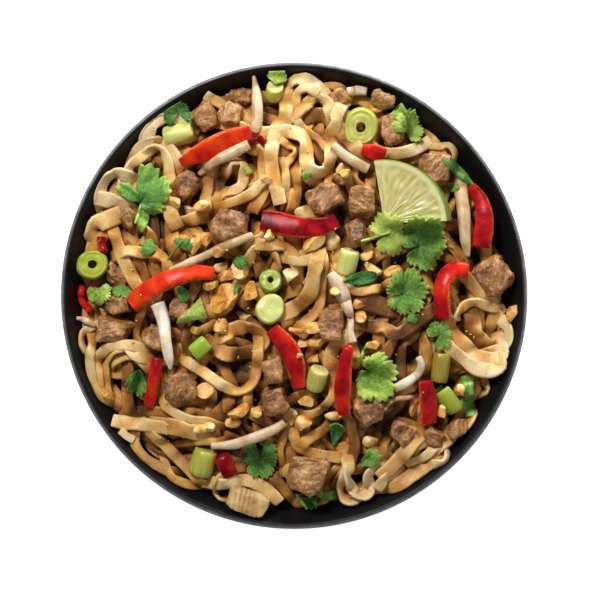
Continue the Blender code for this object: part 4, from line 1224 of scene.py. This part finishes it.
class PADTHAI_OT_core(bpy.types.Operator):
    """Close the heap below the noodles with a core that they lie on, sauce brown darkened to painted shade
    where it shows between them
    """

    bl_idname = "padthai.core"
    bl_label = "Core of the heap"

    FACETS = 90
    BUMP = 1.6  # height of its bumps
    BUMP_LENGTH = 5.0

    def execute(self, context):
        batch = Batch()
        bm = batch.bm
        bmesh.ops.create_grid(bm, x_segments=self.FACETS, y_segments=self.FACETS, size=1)
        relief = bm.verts.layers.float.new("relief")
        bm.verts.layers.float.new("tone")
        for vert in bm.verts:
            u, v = vert.co.x, vert.co.y
            out = Vector((u * math.sqrt(1 - v * v / 2), v * math.sqrt(1 - u * u / 2), 0))
            place = out * (float(wall_radius(HEAP_EDGE + CORE_TOP)) - 1)
            bump = self.BUMP * noise.noise(
                Vector((place.x / self.BUMP_LENGTH, place.y / self.BUMP_LENGTH, 3))
            )
            vert.co = (place.x, place.y, surface_height(place.x, place.y) + CORE_TOP + bump)
            # relief: the core's hollows take painted shade from it
            vert[relief] = 0.5 + 0.3 * bump
        rim = [edge for edge in bm.edges if edge.is_boundary]
        made = bmesh.ops.extrude_edge_only(bm, edges=rim)["geom"]
        for vert in of_kind(made, bmesh.types.BMVert):
            vert.co = Vector((vert.co.x, vert.co.y, 0)).normalized() * FLOOR_RADIUS
            vert.co.z = FLOOR_HEIGHT + 1
        bmesh.ops.contextual_create(bm, geom=of_kind(made, bmesh.types.BMEdge))
        bmesh.ops.recalc_face_normals(bm, faces=bm.faces)
        # painted shade: the core's near-black sauce brown stands for the shade in the gaps between the
        # noodles
        sauce = relief_material(
            "sauce_and_painted_shade_core", ((0.0, "120904"), (0.5, "2E190B"), (0.9, "523016")),
            grain=3.0, rough=0.9, moist=0.7,
        )
        batch.finish("heap_core", sauce, ["noodle_heap"])
        return {"FINISHED"}


def solid_copy(node):
    """A merged copy of a solid, in millimetres."""
    bm = bmesh.new()
    bm.from_mesh(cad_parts[node].data)
    bmesh.ops.scale(bm, vec=(1 / MM, 1 / MM, 1 / MM), verts=bm.verts)
    bmesh.ops.remove_doubles(bm, verts=bm.verts, dist=0.01)
    return bm


def middle_of(bm):
    """The mean of its vertices."""
    return sum((vert.co for vert in bm.verts), Vector()) / len(bm.verts)


def cut_flat(bm, middle, away, share):
    """Slices a lump flat, square to a direction, at a share of the way from its middle to its surface."""
    away = away.normalized()
    reach = max((vert.co - middle).dot(away) for vert in bm.verts)
    cut = bmesh.ops.bisect_plane(
        bm, geom=[*bm.verts, *bm.edges, *bm.faces], plane_no=away, clear_outer=True,
        plane_co=middle + away * reach * share,
    )["geom_cut"]
    bmesh.ops.holes_fill(bm, edges=of_kind(cut, bmesh.types.BMEdge))


def slice_flat(bm, draw, cuts, nearest, farthest, lowest=-1.0):
    """Slices pieces off a lump on all sides, none of them from further below than the lowest."""
    for _ in range(cuts):
        away = Vector([draw.gauss(0, 1) for _ in range(3)])
        away.z = max(away.z, lowest)
        cut_flat(bm, middle_of(bm), away, draw.uniform(nearest, farthest))
    bmesh.ops.triangulate(bm, faces=bm.faces)


BLOCK_SIDES = (0.62, 0.8)  # where a block's four sides are cut, from its lump's middle to its surface
BLOCK_TOP = (0.6, 0.8)
BLOCK_CORNERS = (0.78, 0.9)


def chop(bm, draw):
    """Cuts a lump to a block with sides a little askew and knocked corners, fitted back into its old box."""
    was = np.array([vert.co for vert in bm.verts])
    turn = draw.uniform(0, math.pi / 2)
    middle = middle_of(bm)
    for side in range(7):
        if side < 4:
            bearing = turn + side * math.pi / 2 + draw.gauss(0, 0.16)
            away, share = (math.cos(bearing), math.sin(bearing), draw.gauss(0.1, 0.15)), BLOCK_SIDES
        elif side == 4:
            away, share = (draw.gauss(0, 0.2), draw.gauss(0, 0.2), 1), BLOCK_TOP
        else:
            away, share = (draw.gauss(0, 1), draw.gauss(0, 1), 0.7), BLOCK_CORNERS
        cut_flat(bm, middle, Vector(away), draw.uniform(*share))
    bmesh.ops.triangulate(bm, faces=bm.faces)
    now = np.array([vert.co for vert in bm.verts])
    low, size = was.min(axis=0), np.ptp(was, axis=0)
    fitted = low + (now - now.min(axis=0)) * size / np.ptp(now, axis=0)
    for vert, place in zip(bm.verts, fitted):
        vert.co = place


def refine(bm, longest):
    """Splits edges until none is longer than that."""
    for _ in range(8):
        edges = [edge for edge in bm.edges if edge.calc_length() > longest]
        if not edges:
            break
        bmesh.ops.subdivide_edges(bm, edges=edges, cuts=1)
        bmesh.ops.triangulate(bm, faces=[face for face in bm.faces if len(face.verts) > 3])


def soften(bm, times):
    """Rounds its corners a little more each time."""
    for _ in range(times):
        bmesh.ops.smooth_vert(
            bm, verts=bm.verts, factor=0.5, use_axis_x=True, use_axis_y=True, use_axis_z=True
        )


def roughen(bm, waves, seed, turn=0.0, broad=1.0):
    """Moves a surface in and out by waves of noise, and keeps the relief from 0 in a cleft to 1 on a crest.

    Each wave is its size along the grain, across it, and its height; broad is how much the first wave counts
    in the relief that is kept.
    """
    relief = bm.verts.layers.float.new("relief")
    shift = Vector((seed * 5.7, seed * 3.3, seed * 9.1))
    grain = Matrix.Rotation(turn, 3, "Z")
    total = sum(height for _, _, height in waves)
    bm.normal_update()
    moves = []
    for vert in bm.verts:
        p = grain @ vert.co
        parts = [
            2 * height * noise.noise(Vector((p.x / along, p.y / across, p.z / across)) + shift)
            for along, across, height in waves
        ]
        kept = (sum(parts) - (1 - broad) * parts[0]) / (total - (1 - broad) * waves[0][2])
        # relief: the food's material paints shade in the clefts and highlight on the crests from it
        vert[relief] = clamp(0.5 + 0.55 * kept)
        moves.append(vert.normal * sum(parts))
    for vert, move in zip(bm.verts, moves):
        vert.co += move


def set_down(bm, size, turn, place):
    """Sizes a lump, turns it and moves it to its place."""
    bmesh.ops.scale(bm, vec=size, verts=bm.verts)
    bmesh.ops.rotate(bm, matrix=turn, verts=bm.verts)
    bmesh.ops.translate(bm, vec=place, verts=bm.verts)


def set_tone(bm, tone):
    """Marks how light the whole lump is, for its material."""
    layer = bm.verts.layers.float.new("tone")
    for vert in bm.verts:
        vert[layer] = tone


MEAT_FACET = 1.1  # the longest edge left in its mesh
MEAT_WAVES = ((6, 4.5, 0.6), (2.8, 1.1, 0.2), (0.9, 0.8, 0.13))  # lumps, fibres and grain
ROUND_MEAT = (3, 7, 26)  # the lumps that aren't chopped to blocks
MEAT_TONES = (
    0.14, 0.06, -0.14, -0.14, -0.08, 0.02, 0.10, 0.12, 0.08, 0.02, -0.16, -0.02, -0.04, -0.02,
    -0.10, 0.0, -0.16, 0.02, -0.06, -0.10, -0.06, -0.12, -0.06, 0.06, 0.06, -0.06, 0.10,
)
EXTRA_MEAT = ((-89, 11, 9, 9, 0), (-27, 99, 13, 9, 10), (-92, -8, 7, 8, 0))  # laid out as the peanuts are
EXTRA_MEAT_WAVES = ((5, 4, 1.4), (2, 1.5, 0.6), (1.1, 1.1, 0.35))


class PADTHAI_OT_meat(bpy.types.Operator):
    """Carve the browned meat from its solids: short fibres, clefts and soft corners"""

    bl_idname = "padthai.meat"
    bl_label = "Meat"

    def execute(self, context):
        batch = Batch()
        nodes = nodes_named("meat_")
        draw = random.Random(12)
        for number, (node, tone) in enumerate(zip(nodes, MEAT_TONES)):
            bm = solid_copy(node)
            if number in ROUND_MEAT:
                slice_flat(bm, draw, 3, 0.86, 0.96, 0.0)
            else:
                chop(bm, draw)
            refine(bm, MEAT_FACET)
            soften(bm, 2)
            roughen(bm, MEAT_WAVES, number, number * 1.3, 0.2)
            set_tone(bm, tone)
            batch.join(bm)
        for number, (x, y, length, width, turn) in enumerate(EXTRA_MEAT, 60):
            bm = bmesh.new()
            bmesh.ops.create_icosphere(bm, subdivisions=4, radius=0.5)
            turned = Matrix.Rotation(math.radians(turn), 3, "Z")
            set_down(bm, (length, width, 0.75 * width), turned, (x, y, FOOD.rest(x, y, width / 3, 60)))
            roughen(bm, EXTRA_MEAT_WAVES, number, 1)
            set_tone(bm, 0.12)
            batch.join(bm)
        browned = relief_material(
            "browned_meat",
            ((0.0, "633F20"), (0.25, "8A5B2F"), (0.5, "A6713E"), (0.75, "BA874F"), (1.0, "DAB07A")),
            grain=0.9, rough=0.5, moist=0.2, subsurface=0.12, seared=0.16, mottle=0.2,
        )
        batch.finish("meat", browned, nodes)
        return {"FINISHED"}


class PADTHAI_OT_leek(bpy.types.Operator):
    """Shape the cut leek stem: a stack of pale fibrous layers"""

    bl_idname = "padthai.leek"
    bl_label = "Leek stem"

    FACET = 0.8
    WAVES = ((7, 7, 0.2), (0.9, 14, 0.09))  # lumps, and the edges of its layers
    TURN = math.radians(12)  # which way the layers run

    def execute(self, context):
        batch = Batch()
        bm = solid_copy("leek_stem")
        refine(bm, self.FACET)
        soften(bm, 1)
        roughen(bm, self.WAVES, 8, self.TURN, 0.3)
        set_tone(bm, 0.0)
        batch.join(bm)
        stem = relief_material(
            "braised_leek",
            ((0.0, "AC8148"), (0.4, "C59C5B"), (0.6, "D0AB6E"), (1.0, "DFC28A")),
            grain=1.2, rough=0.5, moist=0.3, subsurface=0.2, mottle=0.08,
        )
        batch.finish("leek_stem_cut", stem, ["leek_stem"])
        return {"FINISHED"}


PEPPER_CUP = 0.28  # how much a strip's skin is arched, against its thickness
SCRAP_THICKNESS = 3.0


def skin_above(a, b):
    """How much of a strip's surface is skin: all of the top, none of the cut sides."""
    return np.clip((b - 0.35) / 0.3, 0, 1) * np.clip((1 - np.abs(a)) / 0.12, 0, 1)


class PADTHAI_OT_pepper(bpy.types.Operator):
    """Cut the red pepper strips: glossy skin above, paler flesh along the cut sides"""

    bl_idname = "padthai.pepper"
    bl_label = "Red pepper"

    def execute(self, context):
        batch = Batch()
        nodes = nodes_named("pepper_")
        for number, (node, (width, tone, route, profile)) in enumerate(zip(nodes, PEPPER)):
            strip = Strip(route, width, PEPPER_THICKNESS, number + 300, profile=profile, spacing=0.8)
            strip.thickness = np.minimum(strip.thickness, PEPPER_THICKNESS)
            strip.lie_in(node)
            strip.z -= PEPPER_CUP * PEPPER_THICKNESS / 2
            strip.add_to(batch, FOOD, tone, 32, square=6.0, cup=PEPPER_CUP, ends=0.95, skin=skin_above)
        for number, (width, tone, route) in enumerate(PEPPER_SCRAPS):
            strip = Strip(route, width, SCRAP_THICKNESS, number + 320, spacing=0.8)
            strip.lie_on(FOOD, (False, False))
            strip.z -= 1.0
            strip.add_to(batch, FOOD, tone, 20, square=3.0, cup=0.2, ends=0.8, skin=skin_above)
        batch.finish("pepper_strips", red_pepper_skin(), nodes)
        return {"FINISHED"}


class PADTHAI_OT_sprouts(bpy.types.Operator):
    """Lay the bean sprouts: round juicy shoots that thin towards their ends"""

    bl_idname = "padthai.sprouts"
    bl_label = "Bean sprouts"

    def execute(self, context):
        batch = Batch()
        nodes = nodes_named("sprout_")
        for number, (radius, tone, route, profile) in enumerate((*SPROUTS, *THIN_SPROUTS)):
            strip = Strip(route, 2 * radius, 1.8 * radius, number + 400, profile=profile, spacing=1.0)
            if number < len(nodes):
                strip.lie_in(nodes[number])
            else:
                strip.lie_on(FOOD, (False, False), roll=0)
                strip.cover(FOOD)
            strip.bank[:] = 0
            strip.add_to(batch, FOOD, tone, 16, square=2.2, ends=0.6)
        shoot = fibrous_stalk(
            "bean_sprout", ((0.0, "F4ECE2"), (0.3, "E4CFB2"), (0.6, "CDAC7E"), (1.0, "A98450")), 0.5
        )
        batch.finish("bean_sprouts", shoot, nodes)
        return {"FINISHED"}


class PADTHAI_OT_scallions(bpy.types.Operator):
    """Cut the scallions: rolled layers round a core, each a little proud of the next"""

    bl_idname = "padthai.scallions"
    bl_label = "Scallions"

    SHOULDER = 0.35  # how far the cut edges are rounded
    RIPPLE = 0.18  # how far each layer stands out of the cut face
    UNEVEN = 0.1  # how far from round it is
    PINCH = 0.1  # how much narrower it is at its ends
    WAVY = 0.5  # how far its ends are out of flat
    STEP = 7.5  # degrees round the roll

    def execute(self, context):
        batch = Batch()
        nodes = nodes_named("scallion_")
        draw = random.Random(5)
        for node, (outer, inner, length, azimuth, elevation, arc, flat, *look) in zip(nodes, SCALLIONS):
            bm = self.roll(outer, inner, length, arc, look, draw.uniform(0, 50))
            oval = 1 + draw.uniform(0.02, 0.07)
            bmesh.ops.scale(bm, vec=(flat * oval, 1 / oval, 1), verts=bm.verts)
            turn = Matrix.Rotation(math.radians(azimuth), 3, "Z") @ Matrix.Rotation(
                math.radians(90 - elevation), 3, "Y"
            )
            bmesh.ops.rotate(bm, matrix=turn, verts=bm.verts)
            places = np.array([vert.co for vert in bm.verts])
            low, high = mm_box(node)
            bmesh.ops.translate(
                bm, vec=(low + high) / 2 - Vector((places.min(0) + places.max(0)) / 2), verts=bm.verts
            )
            batch.join(bm)
        batch.finish("scallion_rings", cut_scallion(), nodes)
        return {"FINISHED"}

    def roll(self, outer, inner, length, arc, look, seed):
        """Rolled layers about the z axis: a section with rippled ends, spun."""
        tone, face, sauce, rings = look
        across = np.linspace(inner + self.SHOULDER, outer - self.SHOULDER, 3 * round((outer - inner) / 0.75))
        ripple = length / 2 + self.RIPPLE * rings * np.cos(2 * math.pi * (outer - across) / LAYER)
        along = np.linspace(self.SHOULDER - length / 2, length / 2 - self.SHOULDER, 7)
        loop = [*zip(across, ripple), *[(outer, z) for z in along[::-1]]]
        loop += [*zip(across[::-1], -ripple[::-1]), *[(inner, z) for z in along]]
        bm = bmesh.new()
        spun(bm, loop, round(arc / self.STEP), arc)
        bmesh.ops.remove_doubles(bm, verts=bm.verts, dist=0.001)
        if arc < 360:
            bmesh.ops.holes_fill(bm, edges=[edge for edge in bm.edges if edge.is_boundary])
        bmesh.ops.recalc_face_normals(bm, faces=bm.faces)
        strand = bm.verts.layers.float_vector.new("strand")
        ring = bm.verts.layers.float_vector.new("ring")
        for vert in bm.verts:
            reach, around = math.hypot(vert.co.x, vert.co.y), math.atan2(vert.co.y, vert.co.x)
            outside = clamp((reach - outer + 0.5) / 0.45)
            end = abs(vert.co.z) > length / 2 - 0.3
            shade = face + (tone - face) * outside if end else (tone if outside else face + 0.25)
            vert[strand] = (vert.co.z, around * reach, shade)
            drift = 0.6 * noise.noise(Vector((vert.co.x / 5, vert.co.y / 5, seed + 9)))
            vert[ring] = ((outer - reach) / LAYER + drift, rings if end else 0, sauce)
            swell = 1 + self.UNEVEN * noise.noise(Vector((math.cos(around), math.sin(around), seed)))
            pinch = 1 - self.PINCH * (2 * vert.co.z / length) ** 4
            vert.co.x *= swell * pinch
            vert.co.y *= swell * pinch
            vert.co.z += self.WAVY * noise.noise(Vector((vert.co.x / 4, vert.co.y / 4, seed)))
        return bm


class PADTHAI_OT_lime(bpy.types.Operator):
    """Cut the lime wedge: juice sacs between membranes, pith, and the rind below"""

    bl_idname = "padthai.lime"
    bl_label = "Lime wedge"

    PITH = 2.2
    RIND = 0.9
    BULGE = 3.4  # how far the rind stands out of a plain ellipse, at its fullest
    TIP = 0.2  # radius of its cut tip
    FACE_STEPS, RIND_STEPS, TURN_STEPS = 44, 16, 90

    def execute(self, context):
        batch = Batch()
        bm = bmesh.new()
        face = [(r, 0) for r in np.linspace(self.TIP, LIME_RADIUS - 0.4, self.FACE_STEPS)]
        down = np.linspace(0.03, math.pi / 2, self.RIND_STEPS)
        rind = [(LIME_RADIUS * math.cos(a), -LIME_DEPTH * math.sin(a)) for a in down[:-1]]
        spun(bm, [*face, *rind, (self.TIP, -LIME_DEPTH)], self.TURN_STEPS, LIME_TO - LIME_FROM)
        bmesh.ops.holes_fill(bm, edges=[edge for edge in bm.edges if edge.is_boundary])
        bmesh.ops.rotate(bm, matrix=Matrix.Rotation(math.radians(LIME_FROM), 3, "Z"), verts=bm.verts)
        bmesh.ops.recalc_face_normals(bm, faces=bm.faces)
        polar = bm.verts.layers.float_vector.new("polar")
        web, skin = [bm.verts.layers.float.new(name) for name in ("web", "rind")]
        for vert in bm.verts:
            reach = math.hypot(vert.co.x, vert.co.y)
            around = math.degrees(math.atan2(vert.co.y, vert.co.x))
            depth = -vert.co.z
            wave = 4 * noise.noise(Vector((reach / 8, around / 20, 2)))
            apart = min(abs(around + wave - m) for m in LIME_MEMBRANES) * math.pi / 180 * reach
            wall = clamp((0.75 - apart) / 0.35) if depth < 0.01 else 1
            edge = LIME_RADIUS - self.PITH - self.RIND
            pith = clamp((reach - edge + 0.4) / 0.8)
            vert[polar] = (reach, math.radians(around) * 16, 0)
            vert[web] = max(0.45 * wall * (0.6 + 0.4 * min(reach / 12, 1)), 0.85 * pith)
            on_rind = (reach - (LIME_RADIUS - self.RIND)) / self.RIND if depth < 0.01 else 1
            vert[skin] = clamp(on_rind) * (1 if reach > 2 else 0)
            if depth < 0.01:
                sac = noise.noise(Vector((reach / 5, math.radians(around) * 14, 1)))
                vert.co.z += 0.5 * (1 - max(wall, pith)) * sac + 0.25 * max(wall, pith) - 0.2
            else:
                lobe = self.BULGE * min(max((75 - around) / 60, 0.12), 1)
                push = lobe * math.sin(math.pi * min(depth / LIME_DEPTH, 1)) / max(reach, 1)
                vert.co.x *= 1 + push
                vert.co.y *= 1 + push
        towards = math.radians(LIME_LEAN_TOWARDS)
        hinge = Vector((-math.sin(towards), math.cos(towards), 0))
        lean = Matrix.Rotation(math.radians(LIME_LEAN), 3, hinge)
        bmesh.ops.rotate(bm, matrix=lean, verts=bm.verts)
        top = mm_box("lime_wedge")[1].z
        rise = top - max(vert.co.z for vert in bm.verts)
        bmesh.ops.translate(bm, vec=(*LIME_CENTRE, rise), verts=bm.verts)
        batch.join(bm)
        batch.finish("lime_wedge_cut", lime_flesh_and_rind(), ["lime_wedge"], sharp=50)
        return {"FINISHED"}


class PADTHAI_OT_peanuts(bpy.types.Operator):
    """Scatter the chopped roast peanuts and their crumbs"""

    bl_idname = "padthai.peanuts"
    bl_label = "Peanuts"

    def execute(self, context):
        draw = random.Random(77)
        nuts = Batch()
        for number, (x, y, length, width, turn) in enumerate(PEANUTS):
            bm = bmesh.new()
            bmesh.ops.create_icosphere(bm, subdivisions=3, radius=1)
            slice_flat(bm, draw, draw.choice(NUT_CUTS), 0.35, 0.75)
            length, width = NUT_SWELL * length, NUT_SWELL * width
            height = width * draw.uniform(*NUT_HEIGHTS)
            tip = Matrix.Rotation(draw.uniform(-0.3, 0.3), 3, "X")
            z = FOOD.rest(x, y, width / 3, 70) + NUT_LIE * height
            z = min(z, CAD_TOP + NUT_ABOVE - height / 2)
            turned = Matrix.Rotation(math.radians(turn), 3, "Z") @ tip
            set_down(bm, (length / 2, width / 2, height / 2), turned, (x, y, z))
            roughen(bm, NUT_WAVES, number)
            set_tone(bm, draw.uniform(-0.2, 0.26))
            nuts.join(bm)
            FOOD.raise_disc(x, y, width / 2, z + 0.3 * height)
        roast = relief_material(
            "roast_peanut",
            ((0.0, "BA7020"), (0.25, "DF983A"), (0.5, "EDB657"), (0.8, "F6CE7E"), (1.0, "FCE4AE")),
            grain=2.4, rough=0.5, moist=0.3, subsurface=0.15,
        )
        nuts.finish("peanuts", roast, sharp=32)
        crumbs = Batch()
        for _ in range(CRUMB_COUNT):
            reach, around = CRUMB_REACH * math.sqrt(draw.random()), draw.uniform(0, 2 * math.pi)
            x, y = reach * math.cos(around), reach * math.sin(around)
            if np.isfinite(FOOD.toppings[FOOD.spot(x, y)]) and draw.random() < 0.85:
                continue
            size = draw.uniform(*CRUMB_SIZES)
            bm = bmesh.new()
            bmesh.ops.create_icosphere(bm, subdivisions=1, radius=1)
            slice_flat(bm, draw, 1, 0.3, 0.7)
            broad = size * draw.uniform(0.5, 0.9)
            turned = Matrix.Rotation(draw.uniform(0, 3.1), 3, "Z")
            set_down(bm, (size, broad, size * 0.6), turned, (x, y, FOOD.rest(x, y, 0.5, 50) + 0.3 * size))
            bm.verts.layers.float.new("relief")
            set_tone(bm, draw.uniform(0.3, 1.1))
            crumbs.join(bm)
        crumbs.finish("peanut_crumbs", roast)
        return {"FINISHED"}


LOBE = 52.0  # degrees across one lobe of a coriander leaf
TEETH = 4  # pointed teeth along the edge of each lobe
LOBE_CUT = 0.17  # how deep the clefts between lobes go, against the leaf's length
TOOTH_CUT = 0.11  # and those between teeth


def fan_place(u, v, spread, lengths):
    """Where a fan leaf's point at share u across and v along lies, forward and sideways of its base."""
    lobes = max(1, round(2 * spread / LOBE))
    wave = math.pi * lobes * (u + 1) / 2
    notch = abs(2 * (TEETH * wave / math.pi % 1) - 1)
    cut = 1 - LOBE_CUT * (1 - abs(math.sin(wave))) ** 1.6 - TOOTH_CUT * notch**1.2
    length = smooth_value((u + 1) / 2, lengths)
    reach = length * v * (1 + (cut - 1) * v**3)
    return reach * math.cos(math.radians(spread) * u), reach * math.sin(math.radians(spread) * u)


def smooth_value(share, values):
    """A value at a share of the way along a list, eased between its neighbours."""
    place = share * (len(values) - 1)
    k = min(int(place), len(values) - 2)
    t = place - k
    return values[k] + (values[k + 1] - values[k]) * t * t * (3 - 2 * t)


def torn_place(u, v, spread, lengths):
    """The same for a torn piece, whose edges have no teeth."""
    reach = v * float(np.interp((u + 1) / 2, np.linspace(0, 1, len(lengths)), lengths))
    return reach * math.cos(math.radians(spread) * u), reach * math.sin(math.radians(spread) * u)


def blade_place(u, v, width, length):
    """The same for a pointed leaf."""
    return length * v, u * width * 0.95 * v**0.5 * (1 - v) ** 0.8


class PADTHAI_OT_herbs(bpy.types.Operator):
    """Drop the coriander leaves, stalks and green strips over the food"""

    bl_idname = "padthai.herbs"
    bl_label = "Herbs"

    RINGS = 11
    DOME, DROOP, CREASE = 0.1, 0.08, 0.05  # rise in its middle, fall at its tip, fold between lobes
    CURL = (0.03, 0.12)  # how far chance curls it, at its base and more towards its edge

    def execute(self, context):
        leaves = Batch()
        ground = FOOD.draped(2, 8)
        for first, rows, place in ((0, FANS, fan_place), (90, BLADES, blade_place), (110, TORN, torn_place)):
            for seed, (x, y, heading, broad, length, *look) in enumerate(rows, first):
                self.leaf(leaves, ground, seed, (x, y), heading, place, broad, length, look)
        leaves.finish("coriander_leaves", herb_leaf())
        green = Batch()
        for number, (radius, tone, route) in enumerate(STALKS):
            strip = Strip(route, 2 * radius, 2 * radius, number + 500, 0, (0.7, 1, 1, 0.8), 0.8)
            strip.lie_on(FOOD, (False, False), roll=0)
            strip.z += 1.2
            strip.bank[:] = 0
            strip.add_to(green, FOOD, tone, 10, square=2.0, ends=0.8)
        for number, (width, tone, route) in enumerate(GREEN_STRIPS):
            strip = Strip(route, width, 0.9, number + 520, spacing=0.8)
            strip.lie_on(FOOD, (False, False))
            strip.add_to(green, FOOD, tone, 16, square=3.0, cup=0.8, ends=0.9)
        stalk = fibrous_stalk(
            "green_stalk", ((0.0, "C9DC8A"), (0.35, "9CC254"), (0.65, "5F9236"), (1.0, "2F5A26")), 1.0
        )
        green.finish("green_stalks", stalk)
        return {"FINISHED"}

    def leaf(self, batch, ground, seed, base, heading, place, broad, length, look):
        """One leaflet: a grid drawn out to the leaf's outline, ribbed, domed and draped."""
        tone, tip_tone, off = look
        fan = place is not blade_place
        size = max(length) if fan else length
        lobes = max(1, round(2 * broad / LOBE)) if fan else 1
        bm = bmesh.new()
        bmesh.ops.create_grid(
            bm, x_segments=(6 * TEETH * lobes if fan else 24), y_segments=self.RINGS, size=1
        )
        facts = bm.verts.layers.float_vector.new("leaf")
        veins = bm.verts.layers.float.new("veins")
        turn = Matrix.Rotation(math.radians(heading), 2)
        limit = float(wall_radius(RIM_HEIGHT)) - 1
        for vert in bm.verts:
            u, v = vert.co.x, 0.04 + 0.94 * (vert.co.y + 1) / 2
            ahead, side = place(u, v, broad, length)
            spot = Vector(base) + turn @ Vector((ahead, side))
            if spot.length > limit:
                spot *= limit / spot.length
            crease = abs(math.sin(math.pi * lobes * (u + 1) / 2))
            dome = self.DOME * size * math.sin(math.pi * v) - self.DROOP * size * v * v
            dome += self.CREASE * size * crease * v
            curl = (self.CURL[0] + self.CURL[1] * v) * size
            curl *= noise.noise(Vector((spot.x / 8, spot.y / 8, seed)))
            lift = ground[FOOD.spot(*spot)] + 0.5 + off * math.sin(math.pi * min(v + 0.15, 1) / 2)
            vert.co = (spot.x, spot.y, lift + dome + curl)
            vert[facts] = (ahead / 4 + seed, side / 4, tone + (tip_tone - tone) * v**1.2)
            lane = (u + 1) / 2 * lobes % 1 - 0.5 if fan else u / 2
            near = abs(lane) * 2 * (math.radians(broad) * math.hypot(ahead, side) / lobes if fan else broad)
            rib, border = max(0, 1 - near / 0.4) * (1 - 0.7 * v), max(0, v - 0.88) / 0.1
            vert[veins] = max(0.25 * rib, 0.45 * border)
        under = of_kind(bmesh.ops.extrude_face_region(bm, geom=bm.faces[:])["geom"], bmesh.types.BMVert)
        bmesh.ops.translate(bm, vec=(0, 0, -LEAF_THICKNESS), verts=under)
        bmesh.ops.recalc_face_normals(bm, faces=bm.faces)
        batch.join(bm)


class PADTHAI_OT_studio(bpy.types.Operator):
    """Set the bowl on a plain pale floor under soft light, seen from straight above"""

    bl_idname = "padthai.studio"
    bl_label = "Studio"

    VIEW_WIDTH = 291.2  # what the camera sees across, at the height of the rim
    CAMERA_HEIGHT = 1150.0
    OFF_CENTRE = (0.44, 0.1)
    LIGHTS = (  # name, place in metres, size, power and tint
        ("key", (-0.45, 0.8, 1.15), 0.36, 16.8, (1.0, 0.98, 0.95)),
        ("fill", (0.9, -0.5, 1.0), 1.2, 2.6, (0.97, 0.98, 1.0)),
        ("rim", (0.45, 1.5, 0.35), 0.6, 26, (1.0, 1.0, 1.0)),
    )
    BACKDROP = 0.16  # strength of the even light from all round

    def execute(self, context):
        colours = settings()[1]
        scene = context.scene
        bm = bmesh.new()
        bmesh.ops.create_grid(bm, x_segments=8, y_segments=8, size=3)
        floor = bpy.data.objects.new("studio_floor", mesh_of(bm, "studio_floor"))
        scene.collection.objects.link(floor)
        floor.data.materials.append(plain_paper(colours.floor))
        for row in self.LIGHTS:
            self.light(*row)
        world = bpy.data.worlds.new("studio")
        scene.world = world
        world.use_nodes = True
        backdrop = world.node_tree.nodes["Background"]
        backdrop.inputs["Color"].default_value = (1, 1, 1, 1)
        backdrop.inputs["Strength"].default_value = self.BACKDROP
        lens = bpy.data.cameras.new("overhead")
        lens.sensor_width = 36
        away = self.CAMERA_HEIGHT - RIM_HEIGHT
        lens.lens = lens.sensor_width * away / self.VIEW_WIDTH
        lens.clip_start, lens.clip_end = 0.05, 20
        camera = bpy.data.objects.new("overhead", lens)
        camera.location = (*[c * MM for c in self.OFF_CENTRE], self.CAMERA_HEIGHT * MM)
        scene.collection.objects.link(camera)
        scene.camera = camera
        scene.view_settings.view_transform = "Standard"
        return {"FINISHED"}

    def light(self, name, place, size, power, tint):
        """A square soft light that faces the bowl."""
        data = bpy.data.lights.new(name, "AREA")
        data.size = size
        data.energy = power
        data.color = tint
        lamp = bpy.data.objects.new(name, data)
        lamp.location = place
        lamp.rotation_euler = Vector(place).to_track_quat("Z", "Y").to_euler()
        bpy.context.scene.collection.objects.link(lamp)


# --- panel and running order

OPERATORS = (
    PADTHAI_OT_bowl, PADTHAI_OT_core, PADTHAI_OT_noodles, PADTHAI_OT_sprouts, PADTHAI_OT_pepper,
    PADTHAI_OT_meat, PADTHAI_OT_leek, PADTHAI_OT_scallions, PADTHAI_OT_lime, PADTHAI_OT_peanuts,
    PADTHAI_OT_herbs, PADTHAI_OT_studio,
)


class PADTHAI_PT_panel(bpy.types.Panel):
    """Sizes, colours and each piece of the helping"""

    bl_label = "Pad Thai"
    bl_idname = "PADTHAI_PT_panel"
    bl_space_type = "VIEW_3D"
    bl_region_type = "UI"
    bl_category = "Pad Thai"

    def draw(self, context):
        for group in (context.scene.pad_thai_sizes, context.scene.pad_thai_colours):
            for name in group.bl_rna.properties.keys():
                if name not in ("rna_type", "name"):
                    self.layout.prop(group, name)
        for operator in OPERATORS:
            self.layout.operator(operator.bl_idname)


CLASSES = (PadThaiSizes, PadThaiColours, *OPERATORS, PADTHAI_PT_panel)


def register():
    for kind in CLASSES:
        bpy.utils.register_class(kind)
    bpy.types.Scene.pad_thai_sizes = PointerProperty(type=PadThaiSizes)
    bpy.types.Scene.pad_thai_colours = PointerProperty(type=PadThaiColours)


def unregister():
    del bpy.types.Scene.pad_thai_colours
    del bpy.types.Scene.pad_thai_sizes
    for kind in reversed(CLASSES):
        bpy.utils.unregister_class(kind)


def main():
    register()
    for operator in OPERATORS:
        getattr(bpy.ops.padthai, operator.bl_idname.split(".")[1])()


if __name__ == "__main__":
    main()
